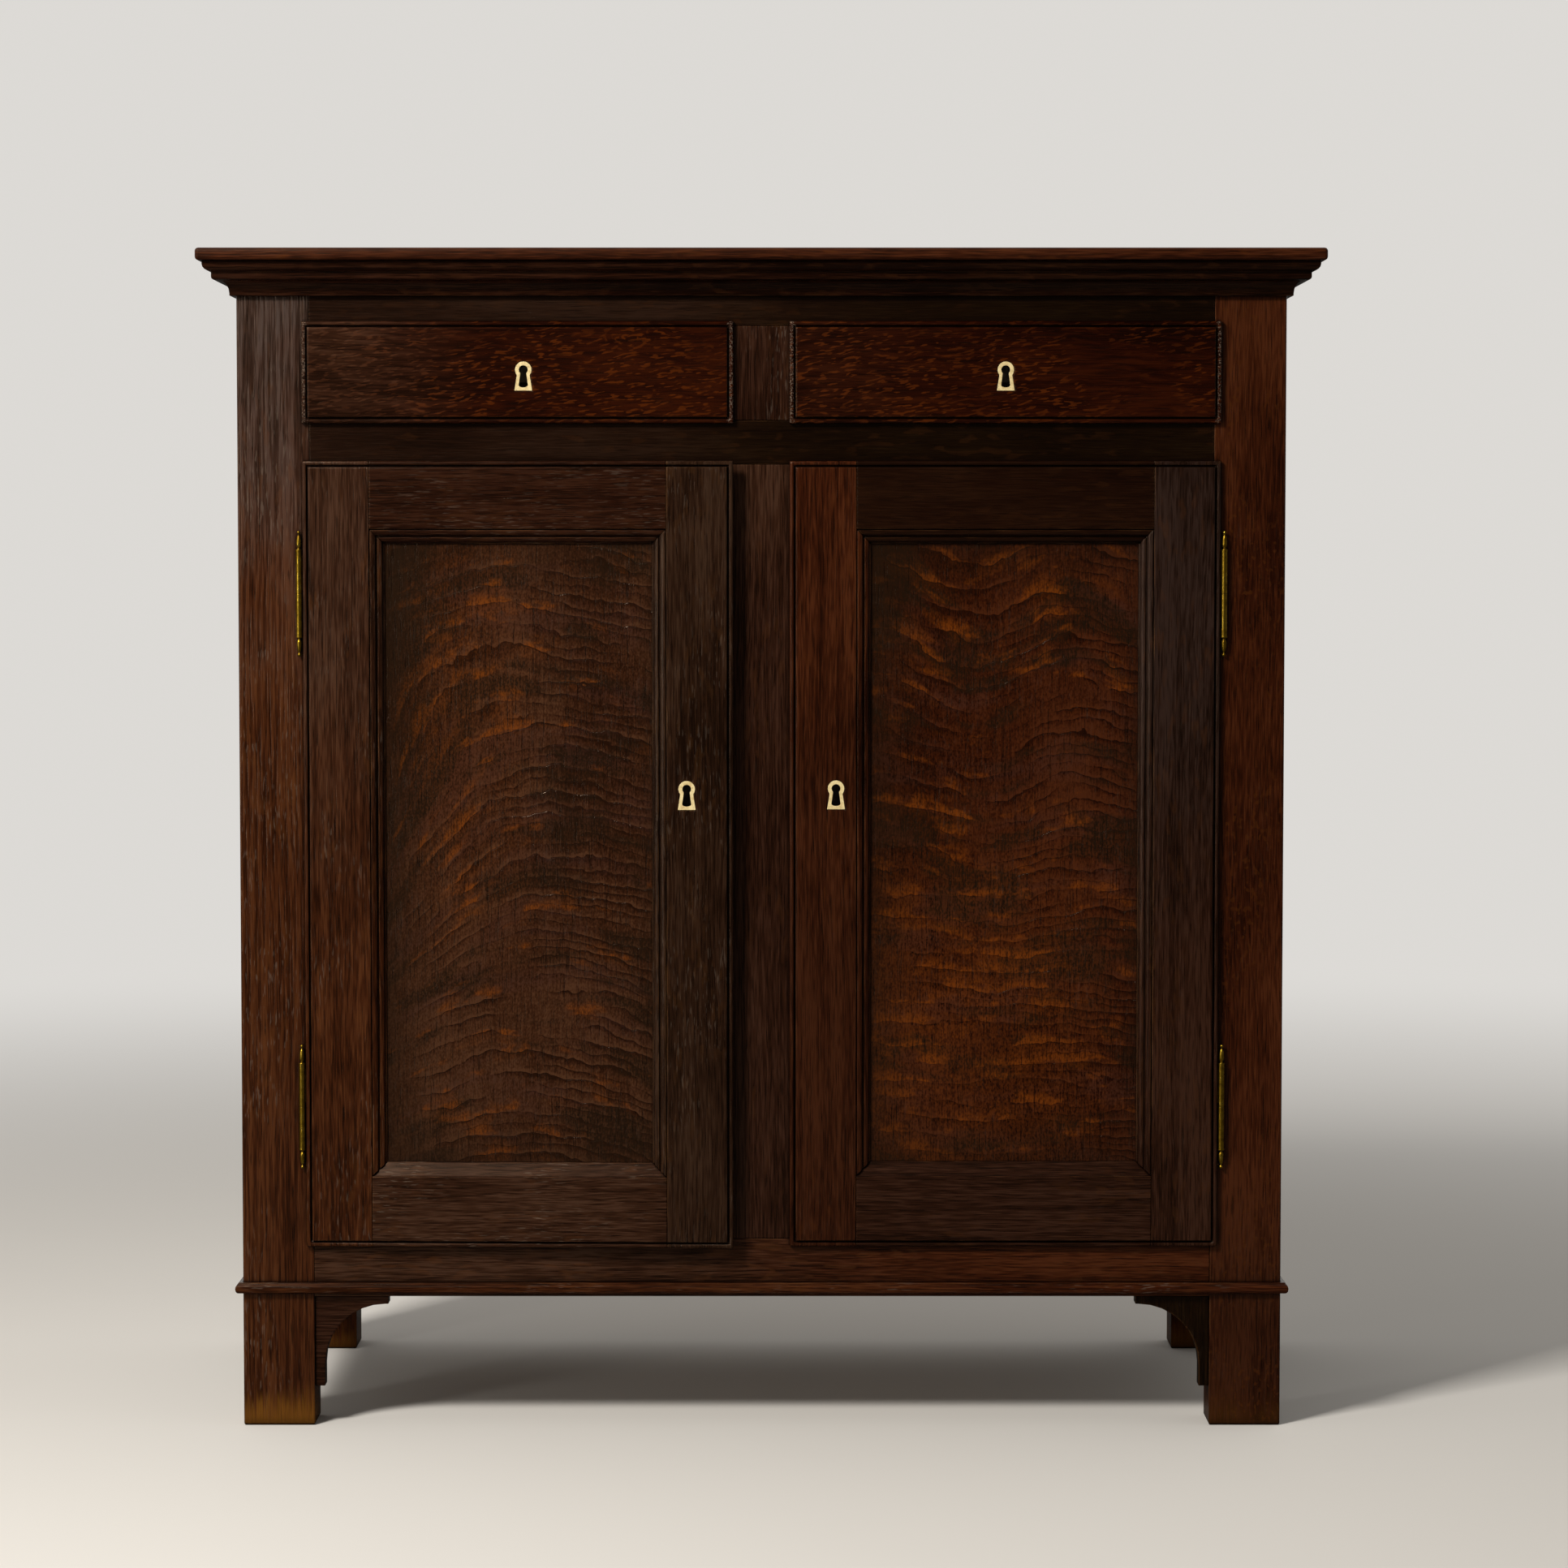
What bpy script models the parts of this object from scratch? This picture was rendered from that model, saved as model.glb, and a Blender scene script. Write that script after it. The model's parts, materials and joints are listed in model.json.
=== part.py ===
"""Oak sideboard with two drawers over two doors, modelled piece by piece at its real size.

Units are metres. The front faces -Y, +Z is up, and the origin lies on the floor under the middle
of the whole object. Each door is modelled shut and then turned about its hinge pins.
"""
import math
from collections import namedtuple

import bmesh
import bpy
from mathutils import Matrix, Vector

# Clearances
FIT = 0.0003            # gap between pieces that touch
MARGIN = 0.004          # how far a cutter reaches past the surface that it cuts
DOOR_PLAY = 0.0015      # door body to its opening
DRAWER_PLAY = 0.0015    # drawer body to its opening, sides and top
MORTISE_PLAY = 0.001    # lock bolt to its mortise
WELD = 0.000001         # points closer than this are one

# Carcass
BODY_WIDTH = 1.029
BODY_DEPTH = 0.4445
POST_WIDTH = 0.0705
POST_DEPTH = 0.050
POST_ROUND = 0.0016
LEG_HEIGHT = 0.129
BOTTOM_RAIL_HEIGHT = 0.0576
DOOR_OPENING_HEIGHT = 0.7655
MIDDLE_RAIL_HEIGHT = 0.0428
DRAWER_OPENING_HEIGHT = 0.0927
TOP_RAIL_HEIGHT = 0.0614
FRAME_THICKNESS = 0.026
STILE_WIDTH = 0.068
TENON_THICKNESS = 0.010
TENON_SHOULDER = 0.008
RAIL_TENON = 0.034
STILE_TENON = 0.012
TENON_ROOT = 0.004      # how far a tenon starts inside its own piece
BOARD_REBATE = 0.006    # rebate in a rail's back for the board behind it

# Top and cornice
TOP_OVERHANG = 0.0355
TOP_THICKNESS = 0.012
TOP_ROUND = 0.0032
OVOLO_PROJECTION = 0.0295
OVOLO_HEIGHT = 0.0098
OVOLO_FILLET = 0.0030
BAND_PROJECTION = 0.0215
BAND_HEIGHT = 0.0080
BAND_ROUND = 0.0028
COVE_PROJECTION = 0.0150
COVE_FOOT = 0.0058
COVE_HEIGHT = 0.0125
CORNICE_FOOT_HEIGHT = 0.0022

# Base moulding and brackets
BASE_RISE = 0.0034          # moulding's foot above the legs' height
BASE_HEIGHT = 0.0108
BASE_PROJECTION = 0.0072
BASE_FILLET_HEIGHT = 0.0016
BASE_FILLET_PROJECTION = 0.0042
BRACKET_LENGTH = 0.073
BRACKET_HEIGHT = 0.090
BRACKET_TIP = 0.008
BRACKET_TAIL = 0.0097
BRACKET_CURVE = 0.060
BRACKET_THICKNESS = 0.018
BRACKET_SETBACK = 0.003

# Steps of rounded shapes
EDGE_STEPS = 2
TOP_STEPS = 3
CORNICE_STEPS = 4
BASE_STEPS = 6
BRACKET_STEPS = 8
BEAD_STEPS = 6
ARRIS_STEPS = 3
MOULD_OVOLO_STEPS = 4
PLATE_STEPS = 14
KEYHOLE_STEPS = 10
TURNING_STEPS = 12
FINIAL_STEPS = 4
SHARP_ANGLE = 40        # degrees between two faces whose edge stays sharp

# Sides, back and inside boards
SIDE_THICKNESS = 0.018
SIDE_INSET = 0.001
TONGUE_THICKNESS = 0.008
TONGUE_LENGTH = 0.008
BACK_THICKNESS = 0.012
BACK_REBATE = 0.012
HOUSING_DEPTH = 0.0045
BOARD_THICKNESS = 0.016
BOTTOM_DROP = 0.002     # bottom board's top below the door opening
SHELF_HEIGHT = 0.330    # shelf's top above the bottom board's top
SHELF_SETBACK = 0.006   # shelf's front edge behind the front posts
GUIDE_WIDTH = 0.016
GUIDE_HEIGHT = 0.018
GUIDE_END = 0.003       # guide short of what it runs up to

# Lipped and beaded edge of doors and drawer fronts
LIP_THICKNESS = 0.008
LIP_SIDE = 0.0065
BEAD_WIDTH = 0.0048
BEAD_DROP = 0.0014
BEAD_RISE = 0.0026
QUIRK_WIDTH = 0.0012
ARRIS = 0.0012

# Doors
DOOR_BODY = 0.022
DOOR_LIP_TOP = 0.003
DOOR_LIP_BOTTOM = 0.007
LEFT_DOOR_AJAR = 1.6    # degrees that the left door stands off its seat
STILE_FLAT = 0.0655
TOP_RAIL_FLAT = 0.0665
BOTTOM_RAIL_FLAT = 0.0705
MOULD_QUIRK_WIDTH = 0.0010
MOULD_QUIRK_DEPTH = 0.0016
MOULD_OVOLO_WIDTH = 0.0052
MOULD_OVOLO_START = 0.0004
MOULD_OVOLO_DROP = 0.0030
MOULD_STEP = 0.0018         # ovolo's foot to the groove's bottom
MOULD_GROOVE = 0.0018
MOULD_BEAD_RISE = 0.0010    # bead's head above the groove's bottom
MOULD_BEAD_WIDTH = 0.0046
MOULD_BEAD_DROP = 0.0032
MOULD_EDGE_STEP = 0.0018    # bead's foot to the flat beside the panel
MOULD_EDGE = 0.0019
SPLAY_WIDTH = 0.0135
SPLAY_STEP = 0.0016
PANEL_REVEAL = 0.0012
PANEL_THICKNESS = 0.008
GROOVE_DEPTH = 0.008
DOOR_TENON = 0.040

# Drawers
DRAWER_LIP_TOP = 0.004
DRAWER_LIP_BOTTOM = 0.003
DRAWER_FRONT_BODY = 0.015
DRAWER_SPACE_BEHIND = 0.072
DRAWER_SIDE = 0.010
DRAWER_SIDE_DROP = 0.004
DRAWER_SIDE_ROUND = 0.002
DRAWER_BACK = 0.010
DRAWER_BACK_INSET = 0.008
DRAWER_BOTTOM = 0.006
DRAWER_BOTTOM_HEIGHT = 0.010
DRAWER_GROOVE = 0.0045
TAIL_COUNT = 3
TAIL_LENGTH = 0.009
TAIL_WIDTH = 0.017
TAIL_NECK = 0.012

# Keyhole plates and locks
PLATE_HEIGHT = 0.0286
PLATE_HEAD = 0.0082         # radius of the round head
PLATE_WAIST_IN = 0.0018     # how far the waist draws in from the head's radius
PLATE_BASE = 0.0088         # half width of the foot
PLATE_DEPTH = 0.003
KEYHOLE_HEAD = 0.0044
KEYHOLE_WAIST_IN = 0.0015
KEYHOLE_BASE = 0.0045
KEYHOLE_LEG = 0.0150
KEYHOLE_ROUND = 0.0022
DOOR_PLATE_INSET = 0.0457   # plate's middle from the door's free edge
DOOR_PLATE_RISE = 0.448     # plate's middle above the door's lower edge
DRAWER_PLATE_RISE = 0.043   # plate's middle above the foot of the drawer's opening
LEFT_PLATE_SHIFT = 0.006    # the left drawer's plate sits this far right of the middle
LOCK_THICKNESS = 0.010
LOCK_WALL = 0.006           # case beside the bolt
LOCK_TAIL = 0.012
BOLT_LENGTH = 0.030
BOLT_WIDTH = 0.012
BOLT_THICKNESS = 0.005
BOLT_SHIFT = 0.014
BOLT_THROW = 0.007

# Hinges
HINGE_SIDE_GAP = 0.0006     # knuckle to the door's lip
HINGE_FRONT_GAP = 0.0011    # knuckle to the frame
HINGE_FROM_TOP = 0.130
HINGE_FROM_BOTTOM = 0.139
KNUCKLE_RADIUS = 0.0031
KNUCKLE_LENGTH = 0.0413
PIN_RADIUS = 0.0015
PIN_LENGTH = 0.026
LEAF_THICKNESS = 0.0012
LEAF_DEPTH = 0.030
LEAF_INSET = 0.004
LEAF_SETBACK = 0.0014       # middle of the door's leaf behind the pin's axis
FINIAL_LENGTH = 0.0205
FINIAL_BALL = 0.0018
FINIAL_NECK = 0.0008
FINIAL_VASE = 0.0026
FINIAL_GROOVE = 0.0015
FINIAL_RING = 0.0033
FINIAL_SLOPE = 0.0004       # heights from here on
FINIAL_RING_LENGTH = 0.0016
FINIAL_GROOVE_LENGTH = 0.0017
FINIAL_SWELL = 0.0030
FINIAL_NECK_LENGTH = 0.0012

# Planes and edges that follow from the sizes above
HALF = BODY_WIDTH / 2
FRONT = (TOP_OVERHANG - BODY_DEPTH) / 2
BACK = FRONT + BODY_DEPTH
FACE = FRONT - LIP_THICKNESS
INNER_BACK = BACK - BACK_THICKNESS - FIT
SIDE_INSIDE = HALF - SIDE_INSET - SIDE_THICKNESS
POST_EDGE = HALF - POST_WIDTH
STILE_EDGE = STILE_WIDTH / 2
POST_BACK = FRONT + POST_DEPTH
REAR_POST_FRONT = BACK - POST_DEPTH
DOOR_LOW = LEG_HEIGHT + BOTTOM_RAIL_HEIGHT
DOOR_HIGH = DOOR_LOW + DOOR_OPENING_HEIGHT
DRAWER_LOW = DOOR_HIGH + MIDDLE_RAIL_HEIGHT
DRAWER_HIGH = DRAWER_LOW + DRAWER_OPENING_HEIGHT
TOP_LOW = DRAWER_HIGH + TOP_RAIL_HEIGHT
TENON_FRONT = FRONT + (FRAME_THICKNESS - TENON_THICKNESS) / 2
TENON_BACK = TENON_FRONT + TENON_THICKNESS
BOTTOM_TOP = DOOR_LOW - BOTTOM_DROP
SHELF_TOP = BOTTOM_TOP + SHELF_HEIGHT
BOARD_FRONT = FRONT + FRAME_THICKNESS - BOARD_REBATE
DOOR_BACK = FRONT + DOOR_BODY
MOULD_WIDTH = MOULD_QUIRK_WIDTH + MOULD_OVOLO_WIDTH + MOULD_GROOVE + MOULD_BEAD_WIDTH + MOULD_EDGE
MOULD_BEAD_FOOT = MOULD_OVOLO_DROP + MOULD_STEP - MOULD_BEAD_RISE + MOULD_BEAD_DROP
MOULD_DROP = MOULD_BEAD_FOOT + MOULD_EDGE_STEP
PANEL_SINK = MOULD_DROP + PANEL_REVEAL
DRAWER_FRONT_BACK = FRONT + DRAWER_FRONT_BODY
DRAWER_END = INNER_BACK - DRAWER_SPACE_BEHIND
PLATE_TO_HEAD = PLATE_HEIGHT / 2 - PLATE_HEAD
LOCK_HALF_WIDTH = BOLT_SHIFT + BOLT_WIDTH / 2 + LOCK_WALL
HINGE_OFFSET = KNUCKLE_RADIUS + HINGE_SIDE_GAP
HINGE_Y = FRONT - KNUCKLE_RADIUS - HINGE_FRONT_GAP

# Colour, roughness and metallic value of each finish
FINISHES = {
    "dark_oak": ((0.055, 0.019, 0.009), 0.42, 0.0),
    "red_oak": ((0.075, 0.023, 0.010), 0.40, 0.0),
    "figured_oak": ((0.085, 0.030, 0.012), 0.42, 0.0),
    "inside_oak": ((0.210, 0.120, 0.058), 0.65, 0.0),
    "brass": ((0.560, 0.390, 0.110), 0.32, 1.0),
    "bone": ((0.640, 0.520, 0.270), 0.45, 0.0),
    "lock_iron": ((0.120, 0.110, 0.100), 0.50, 1.0),
}

Door = namedtuple("Door", "name inward hinge_x free_x low high empty")
Drawer = namedtuple("Drawer", "name left right low high empty")
Lock = namedtuple("Lock", "owner key toward across back edge empty")


def clear_scene():
    """Remove whatever the scene holds."""
    for thing in list(bpy.data.objects):
        bpy.data.objects.remove(thing, do_unlink=True)
    for group in list(bpy.data.collections):
        bpy.data.collections.remove(group)


def new_collection(name):
    """A collection linked to the scene."""
    group = bpy.data.collections.new(name)
    bpy.context.scene.collection.children.link(group)
    return group


clear_scene()
PARTS = new_collection("sideboard")
CUTTERS = new_collection("cutters")


def new_material(name, colour, roughness, metallic):
    """A plain Principled material."""
    material = bpy.data.materials.new(name)
    material.use_nodes = True
    shader = material.node_tree.nodes["Principled BSDF"]
    shader.inputs["Base Color"].default_value = (*colour, 1.0)
    shader.inputs["Roughness"].default_value = roughness
    shader.inputs["Metallic"].default_value = metallic
    material.diffuse_color = (*colour, 1.0)
    return material


MATERIALS = {name: new_material(name, *look) for name, look in FINISHES.items()}


def place(name, data, finish, empty):
    """Put a mesh in the scene: a part if it has a finish, and a cutter if it has none."""
    thing = bpy.data.objects.new(name, data)
    if finish is None:
        CUTTERS.objects.link(thing)
        thing.hide_render = True
        thing.display_type = "WIRE"
    else:
        PARTS.objects.link(thing)
        data.materials.append(MATERIALS[finish])
    if empty is not None:
        thing.parent = empty
        thing.matrix_parent_inverse = Matrix.Translation(-empty.location)
    return thing


def new_empty(name, location, parent=None):
    """An empty on a joint's axis, which the moving pieces are parented to."""
    empty = bpy.data.objects.new(name, None)
    empty.empty_display_size = POST_DEPTH
    empty.location = location
    PARTS.objects.link(empty)
    if parent is not None:
        empty.parent = parent
        empty.matrix_parent_inverse = Matrix.Translation(-parent.location)
    return empty


def face_outward(shape):
    """Turn the faces of a closed shape outward."""
    bmesh.ops.recalc_face_normals(shape, faces=shape.faces)
    if shape.calc_volume(signed=True) < 0.0:
        bmesh.ops.reverse_faces(shape, faces=shape.faces)


def box(name, low, high, finish=None, empty=None):
    """A block between two corners, with its origin in its middle."""
    low = Vector(low)
    high = Vector(high)
    mesh = bpy.data.meshes.new(name)
    shape = bmesh.new()
    bmesh.ops.create_cube(shape, size=1.0)
    bmesh.ops.scale(shape, vec=high - low, verts=shape.verts)
    shape.to_mesh(mesh)
    shape.free()
    block = place(name, mesh, finish, empty)
    block.location = (low + high) / 2
    return block


def merge_caps(shape, half):
    """Make each flat end of an extruded outline one face."""
    for level in (-half, half):
        cap = [face for face in shape.faces if all(abs(corner.co.z - level) < WELD for corner in face.verts)]
        bmesh.ops.dissolve_faces(shape, faces=cap)


def prism(name, axis, outlines, start, end, finish=None, empty=None):
    """Flat outlines drawn across one axis and extruded along it; inner outlines are holes."""
    first, second, along = {"x": (1, 2, 0), "y": (0, 2, 1), "z": (0, 1, 2)}[axis]
    curve = bpy.data.curves.new(name, "CURVE")
    curve.dimensions = "2D"
    curve.fill_mode = "BOTH"
    curve.extrude = (end - start) / 2
    for outline in outlines:
        spline = curve.splines.new("POLY")
        spline.points.add(len(outline) - 1)
        for point, place_in_plane in zip(spline.points, outline):
            point.co = (*place_in_plane, 0.0, 1.0)
        spline.use_cyclic_u = True
    drawn = bpy.data.objects.new(name + "_outline", curve)
    CUTTERS.objects.link(drawn)
    graph = bpy.context.evaluated_depsgraph_get()
    mesh = bpy.data.meshes.new_from_object(drawn.evaluated_get(graph))
    bpy.data.objects.remove(drawn, do_unlink=True)
    mesh.materials.clear()
    shape = bmesh.new()
    shape.from_mesh(mesh)
    bmesh.ops.remove_doubles(shape, verts=shape.verts, dist=WELD)
    if len(outlines) == 1:
        merge_caps(shape, curve.extrude)
    for vertex in shape.verts:
        flat = vertex.co.copy()
        vertex.co[first] = flat.x
        vertex.co[second] = flat.y
        vertex.co[along] = flat.z + (start + end) / 2
    for face in shape.faces:
        face.smooth = False
    face_outward(shape)
    shape.to_mesh(mesh)
    shape.free()
    return place(name, mesh, finish, empty)


def sweep(name, outline, stations, finish=None, empty=None, closed=False):
    """Carry an outline from station to station; a station is an origin and the outline's two axes."""
    shape = bmesh.new()
    number = shape.verts.layers.int.new("outline_point")
    origin, across, up = stations[0]
    first = [shape.verts.new(origin + across * s + up * t) for s, t in outline]
    for index, vertex in enumerate(first):
        vertex[number] = index
    first_edges = [shape.edges.new((first[index - 1], first[index])) for index in range(len(first))]
    edges = first_edges
    for origin, across, up in stations[1:] + (stations[:1] if closed else []):
        grown = bmesh.ops.extrude_edge_only(shape, edges=edges)["geom"]
        fresh = [item for item in grown if isinstance(item, bmesh.types.BMVert)]
        for vertex in fresh:
            s, t = outline[vertex[number]]
            vertex.co = origin + across * s + up * t
        edges = [
            item for item in grown
            if isinstance(item, bmesh.types.BMEdge) and all(vertex in fresh for vertex in item.verts)
        ]
    if closed:
        bmesh.ops.weld_verts(shape, targetmap={vertex: first[vertex[number]] for vertex in fresh})
    else:
        bmesh.ops.contextual_create(shape, geom=first_edges)
        bmesh.ops.contextual_create(shape, geom=edges)
    face_outward(shape)
    mesh = bpy.data.meshes.new(name)
    shape.to_mesh(mesh)
    shape.free()
    return place(name, mesh, finish, empty)


def turned(name, profile, axis_point, finish, empty=None):
    """A turned piece: a profile of radius and height, from its top down, spun about the upright axis."""
    mesh = bpy.data.meshes.new(name)
    shape = bmesh.new()
    points = [shape.verts.new((radius, 0.0, height)) for radius, height in profile]
    for upper, lower in zip(points, points[1:]):
        shape.edges.new((upper, lower))
    shape.to_mesh(mesh)
    shape.free()
    piece = place(name, mesh, finish, empty)
    piece.location = axis_point
    screw = piece.modifiers.new("turning", "SCREW")
    screw.steps = TURNING_STEPS
    screw.render_steps = TURNING_STEPS
    screw.use_merge_vertices = True
    screw.merge_threshold = WELD
    return piece


def combine(piece, operation, tools):
    """Add one Boolean for each tool."""
    for tool in tools:
        step = piece.modifiers.new(operation.lower() + "_" + tool.name, "BOOLEAN")
        step.operation = operation
        step.solver = "EXACT"
        step.object = tool


def cut(piece, *tools):
    """Take the tools away from a piece."""
    combine(piece, "DIFFERENCE", tools)


def join(piece, *tools):
    """Add the tools to a piece."""
    combine(piece, "UNION", tools)


def soften(piece, width, segments, chosen):
    """Round the edges whose middle, in world coordinates, passes the test."""
    shape = bmesh.new()
    shape.from_mesh(piece.data)
    weight = shape.edges.layers.float.new("bevel_weight_edge")
    for edge in shape.edges:
        middle = (edge.verts[0].co + edge.verts[1].co) / 2 + piece.location
        edge[weight] = 1.0 if chosen(middle) else 0.0
    shape.to_mesh(piece.data)
    shape.free()
    bevel = piece.modifiers.new("rounded_edges", "BEVEL")
    bevel.limit_method = "WEIGHT"
    bevel.width = width
    bevel.segments = segments


def shade_round(piece):
    """Smooth shading on a turned or moulded piece, with its sharp edges kept."""
    piece.data.shade_smooth()
    piece.data.set_sharp_from_angle(angle=math.radians(SHARP_ANGLE))


def grow(low, high, amount):
    """The corners of a box, made larger all round."""
    step = Vector((amount, amount, amount))
    return Vector(low) - step, Vector(high) + step


def tenon(piece, mate, low, high, empty=None):
    """A tenon on one piece, and its mortise in the other."""
    name = piece.name + "_into_" + mate.name
    join(piece, box(name + "_tenon", low, high, empty=empty))
    cut(mate, box(name + "_mortise", *grow(low, high, FIT), empty=empty))


def arc(centre, radii, start, end, steps):
    """Points on an ellipse between two angles in degrees."""
    points = []
    for step in range(steps + 1):
        angle = math.radians(start + (end - start) * step / steps)
        points.append((centre[0] + radii[0] * math.cos(angle), centre[1] + radii[1] * math.sin(angle)))
    return points


# Carcass frame

def make_post(name, side, front):
    """An upright that runs to the floor; side is -1 for left and 1 for right."""
    edges = sorted((side * POST_EDGE, side * HALF))
    near, far = (FRONT, POST_BACK) if front else (REAR_POST_FRONT, BACK)
    post = box(name, (edges[0], near, 0.0), (edges[1], far, TOP_LOW - FIT), "red_oak")
    outer_y = near if front else far

    def exposed(middle):
        corner = abs(middle.x - side * HALF) < FIT and abs(middle.y - outer_y) < FIT
        return corner or middle.z < FIT

    soften(post, POST_ROUND, EDGE_STEPS, exposed)
    return post


def make_posts():
    """The four uprights, keyed by name."""
    posts = {}
    for side, hand in ((-1, "left"), (1, "right")):
        posts["front_" + hand] = make_post(f"front_{hand}_post", side, True)
        posts["rear_" + hand] = make_post(f"rear_{hand}_post", side, False)
    return posts


def make_rail(name, low, high, posts):
    """A front rail, tenoned into both front posts."""
    reach = POST_EDGE - FIT
    rail = box(name, (-reach, FRONT, low), (reach, FRONT + FRAME_THICKNESS, high), "dark_oak")
    for side, hand in ((-1, "left"), (1, "right")):
        ends = sorted((side * (POST_EDGE - TENON_ROOT), side * (POST_EDGE + RAIL_TENON)))
        tenon(
            rail, posts["front_" + hand],
            (ends[0], TENON_FRONT, low + TENON_SHOULDER),
            (ends[1], TENON_BACK, high - TENON_SHOULDER),
        )
    return rail


def make_upright(name, low, high, lower_rail, upper_rail):
    """An upright between two rails, tenoned into both."""
    upright = box(
        name, (-STILE_EDGE, FRONT, low + FIT), (STILE_EDGE, FRONT + FRAME_THICKNESS, high - FIT), "dark_oak"
    )
    reach = STILE_EDGE - TENON_SHOULDER
    tenon(
        upright, lower_rail,
        (-reach, TENON_FRONT, low - STILE_TENON), (reach, TENON_BACK, low + TENON_ROOT),
    )
    tenon(
        upright, upper_rail,
        (-reach, TENON_FRONT, high - TENON_ROOT), (reach, TENON_BACK, high + STILE_TENON),
    )
    return upright


def rebate_rail(rail, rail_top, board_top):
    """A rebate along a rail's back, open at the top, for the front edge of a board."""
    cut(rail, box(
        rail.name + "_rebate",
        (-POST_EDGE, BOARD_FRONT, board_top - BOARD_THICKNESS - FIT),
        (POST_EDGE, FRONT + FRAME_THICKNESS + MARGIN, rail_top + MARGIN),
    ))


def make_side(hand, side, posts, boards):
    """A solid side, tongued into its posts and housed for the boards inside."""
    inner, outer = side * SIDE_INSIDE, side * (HALF - SIDE_INSET)
    edges = sorted((inner, outer))
    panel = box(
        f"{hand}_side_panel",
        (edges[0], POST_BACK + FIT, LEG_HEIGHT), (edges[1], REAR_POST_FRONT - FIT, TOP_LOW - FIT), "red_oak",
    )
    middle = (inner + outer) / 2
    for post, start, end in (
        (posts["front_" + hand], POST_BACK - TONGUE_LENGTH, POST_BACK + TENON_ROOT),
        (posts["rear_" + hand], REAR_POST_FRONT - TENON_ROOT, REAR_POST_FRONT + TONGUE_LENGTH),
    ):
        tenon(
            panel, post,
            (middle - TONGUE_THICKNESS / 2, start, LEG_HEIGHT + TENON_SHOULDER),
            (middle + TONGUE_THICKNESS / 2, end, TOP_LOW - TENON_SHOULDER),
        )
    housing = sorted((inner - side * MARGIN, inner + side * HOUSING_DEPTH))
    for name, top in boards:
        cut(panel, box(
            f"{hand}_housing_for_{name}",
            (housing[0], POST_BACK, top - BOARD_THICKNESS - FIT), (housing[1], REAR_POST_FRONT, top + FIT),
        ))
    return panel


def board_outline(front_y, notch_front):
    """Plan of a board between the sides, notched round the posts."""
    reach = SIDE_INSIDE + HOUSING_DEPTH - FIT
    neck = POST_EDGE - FIT
    if notch_front:
        right = [(neck, front_y), (neck, POST_BACK + FIT), (reach, POST_BACK + FIT)]
    else:
        right = [(reach, front_y)]
    right += [(reach, REAR_POST_FRONT - FIT), (neck, REAR_POST_FRONT - FIT), (neck, INNER_BACK)]
    return right + [(-x, y) for x, y in reversed(right)]


def make_board(name, top, front_y, notch_front):
    """A board inside the carcass."""
    plan = board_outline(front_y, notch_front)
    return prism(name, "z", [plan], top - BOARD_THICKNESS, top, "inside_oak")


def add_drawer_guides(deck):
    """Strips on the deck that keep the drawers straight."""
    low, high = DRAWER_LOW - TENON_ROOT, DRAWER_LOW + GUIDE_HEIGHT
    join(deck, box(
        "middle_guide",
        (-STILE_EDGE, FRONT + FRAME_THICKNESS + FIT, low), (STILE_EDGE, INNER_BACK - GUIDE_END, high),
    ))
    for side, hand in ((-1, "left"), (1, "right")):
        edges = sorted((side * POST_EDGE, side * (POST_EDGE + GUIDE_WIDTH)))
        join(deck, box(
            hand + "_guide",
            (edges[0], POST_BACK + GUIDE_END, low), (edges[1], REAR_POST_FRONT - GUIDE_END, high),
        ))


def make_back(posts):
    """The back, let into a rebate of the rear posts."""
    reach = POST_EDGE + BACK_REBATE
    for side, hand in ((-1, "left"), (1, "right")):
        edges = sorted((side * (POST_EDGE - MARGIN), side * reach))
        cut(posts["rear_" + hand], box(
            hand + "_back_rebate",
            (edges[0], INNER_BACK, LEG_HEIGHT - FIT), (edges[1], BACK + MARGIN, TOP_LOW + MARGIN),
        ))
    return box(
        "back_panel",
        (-reach + FIT, BACK - BACK_THICKNESS, LEG_HEIGHT), (reach - FIT, BACK, TOP_LOW - FIT), "inside_oak",
    )


def round_the_body(name, outline, finish):
    """A moulding run along the left end, the front and the right end, with mitred corners."""
    up = Vector((0.0, 0.0, 1.0))
    stations = [
        (Vector((-HALF, BACK, 0.0)), Vector((-1.0, 0.0, 0.0)), up),
        (Vector((-HALF, FRONT, 0.0)), Vector((-1.0, -1.0, 0.0)), up),
        (Vector((HALF, FRONT, 0.0)), Vector((1.0, -1.0, 0.0)), up),
        (Vector((HALF, BACK, 0.0)), Vector((1.0, 0.0, 0.0)), up),
    ]
    moulding = sweep(name, outline, stations, finish)
    shade_round(moulding)
    return moulding


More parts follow.
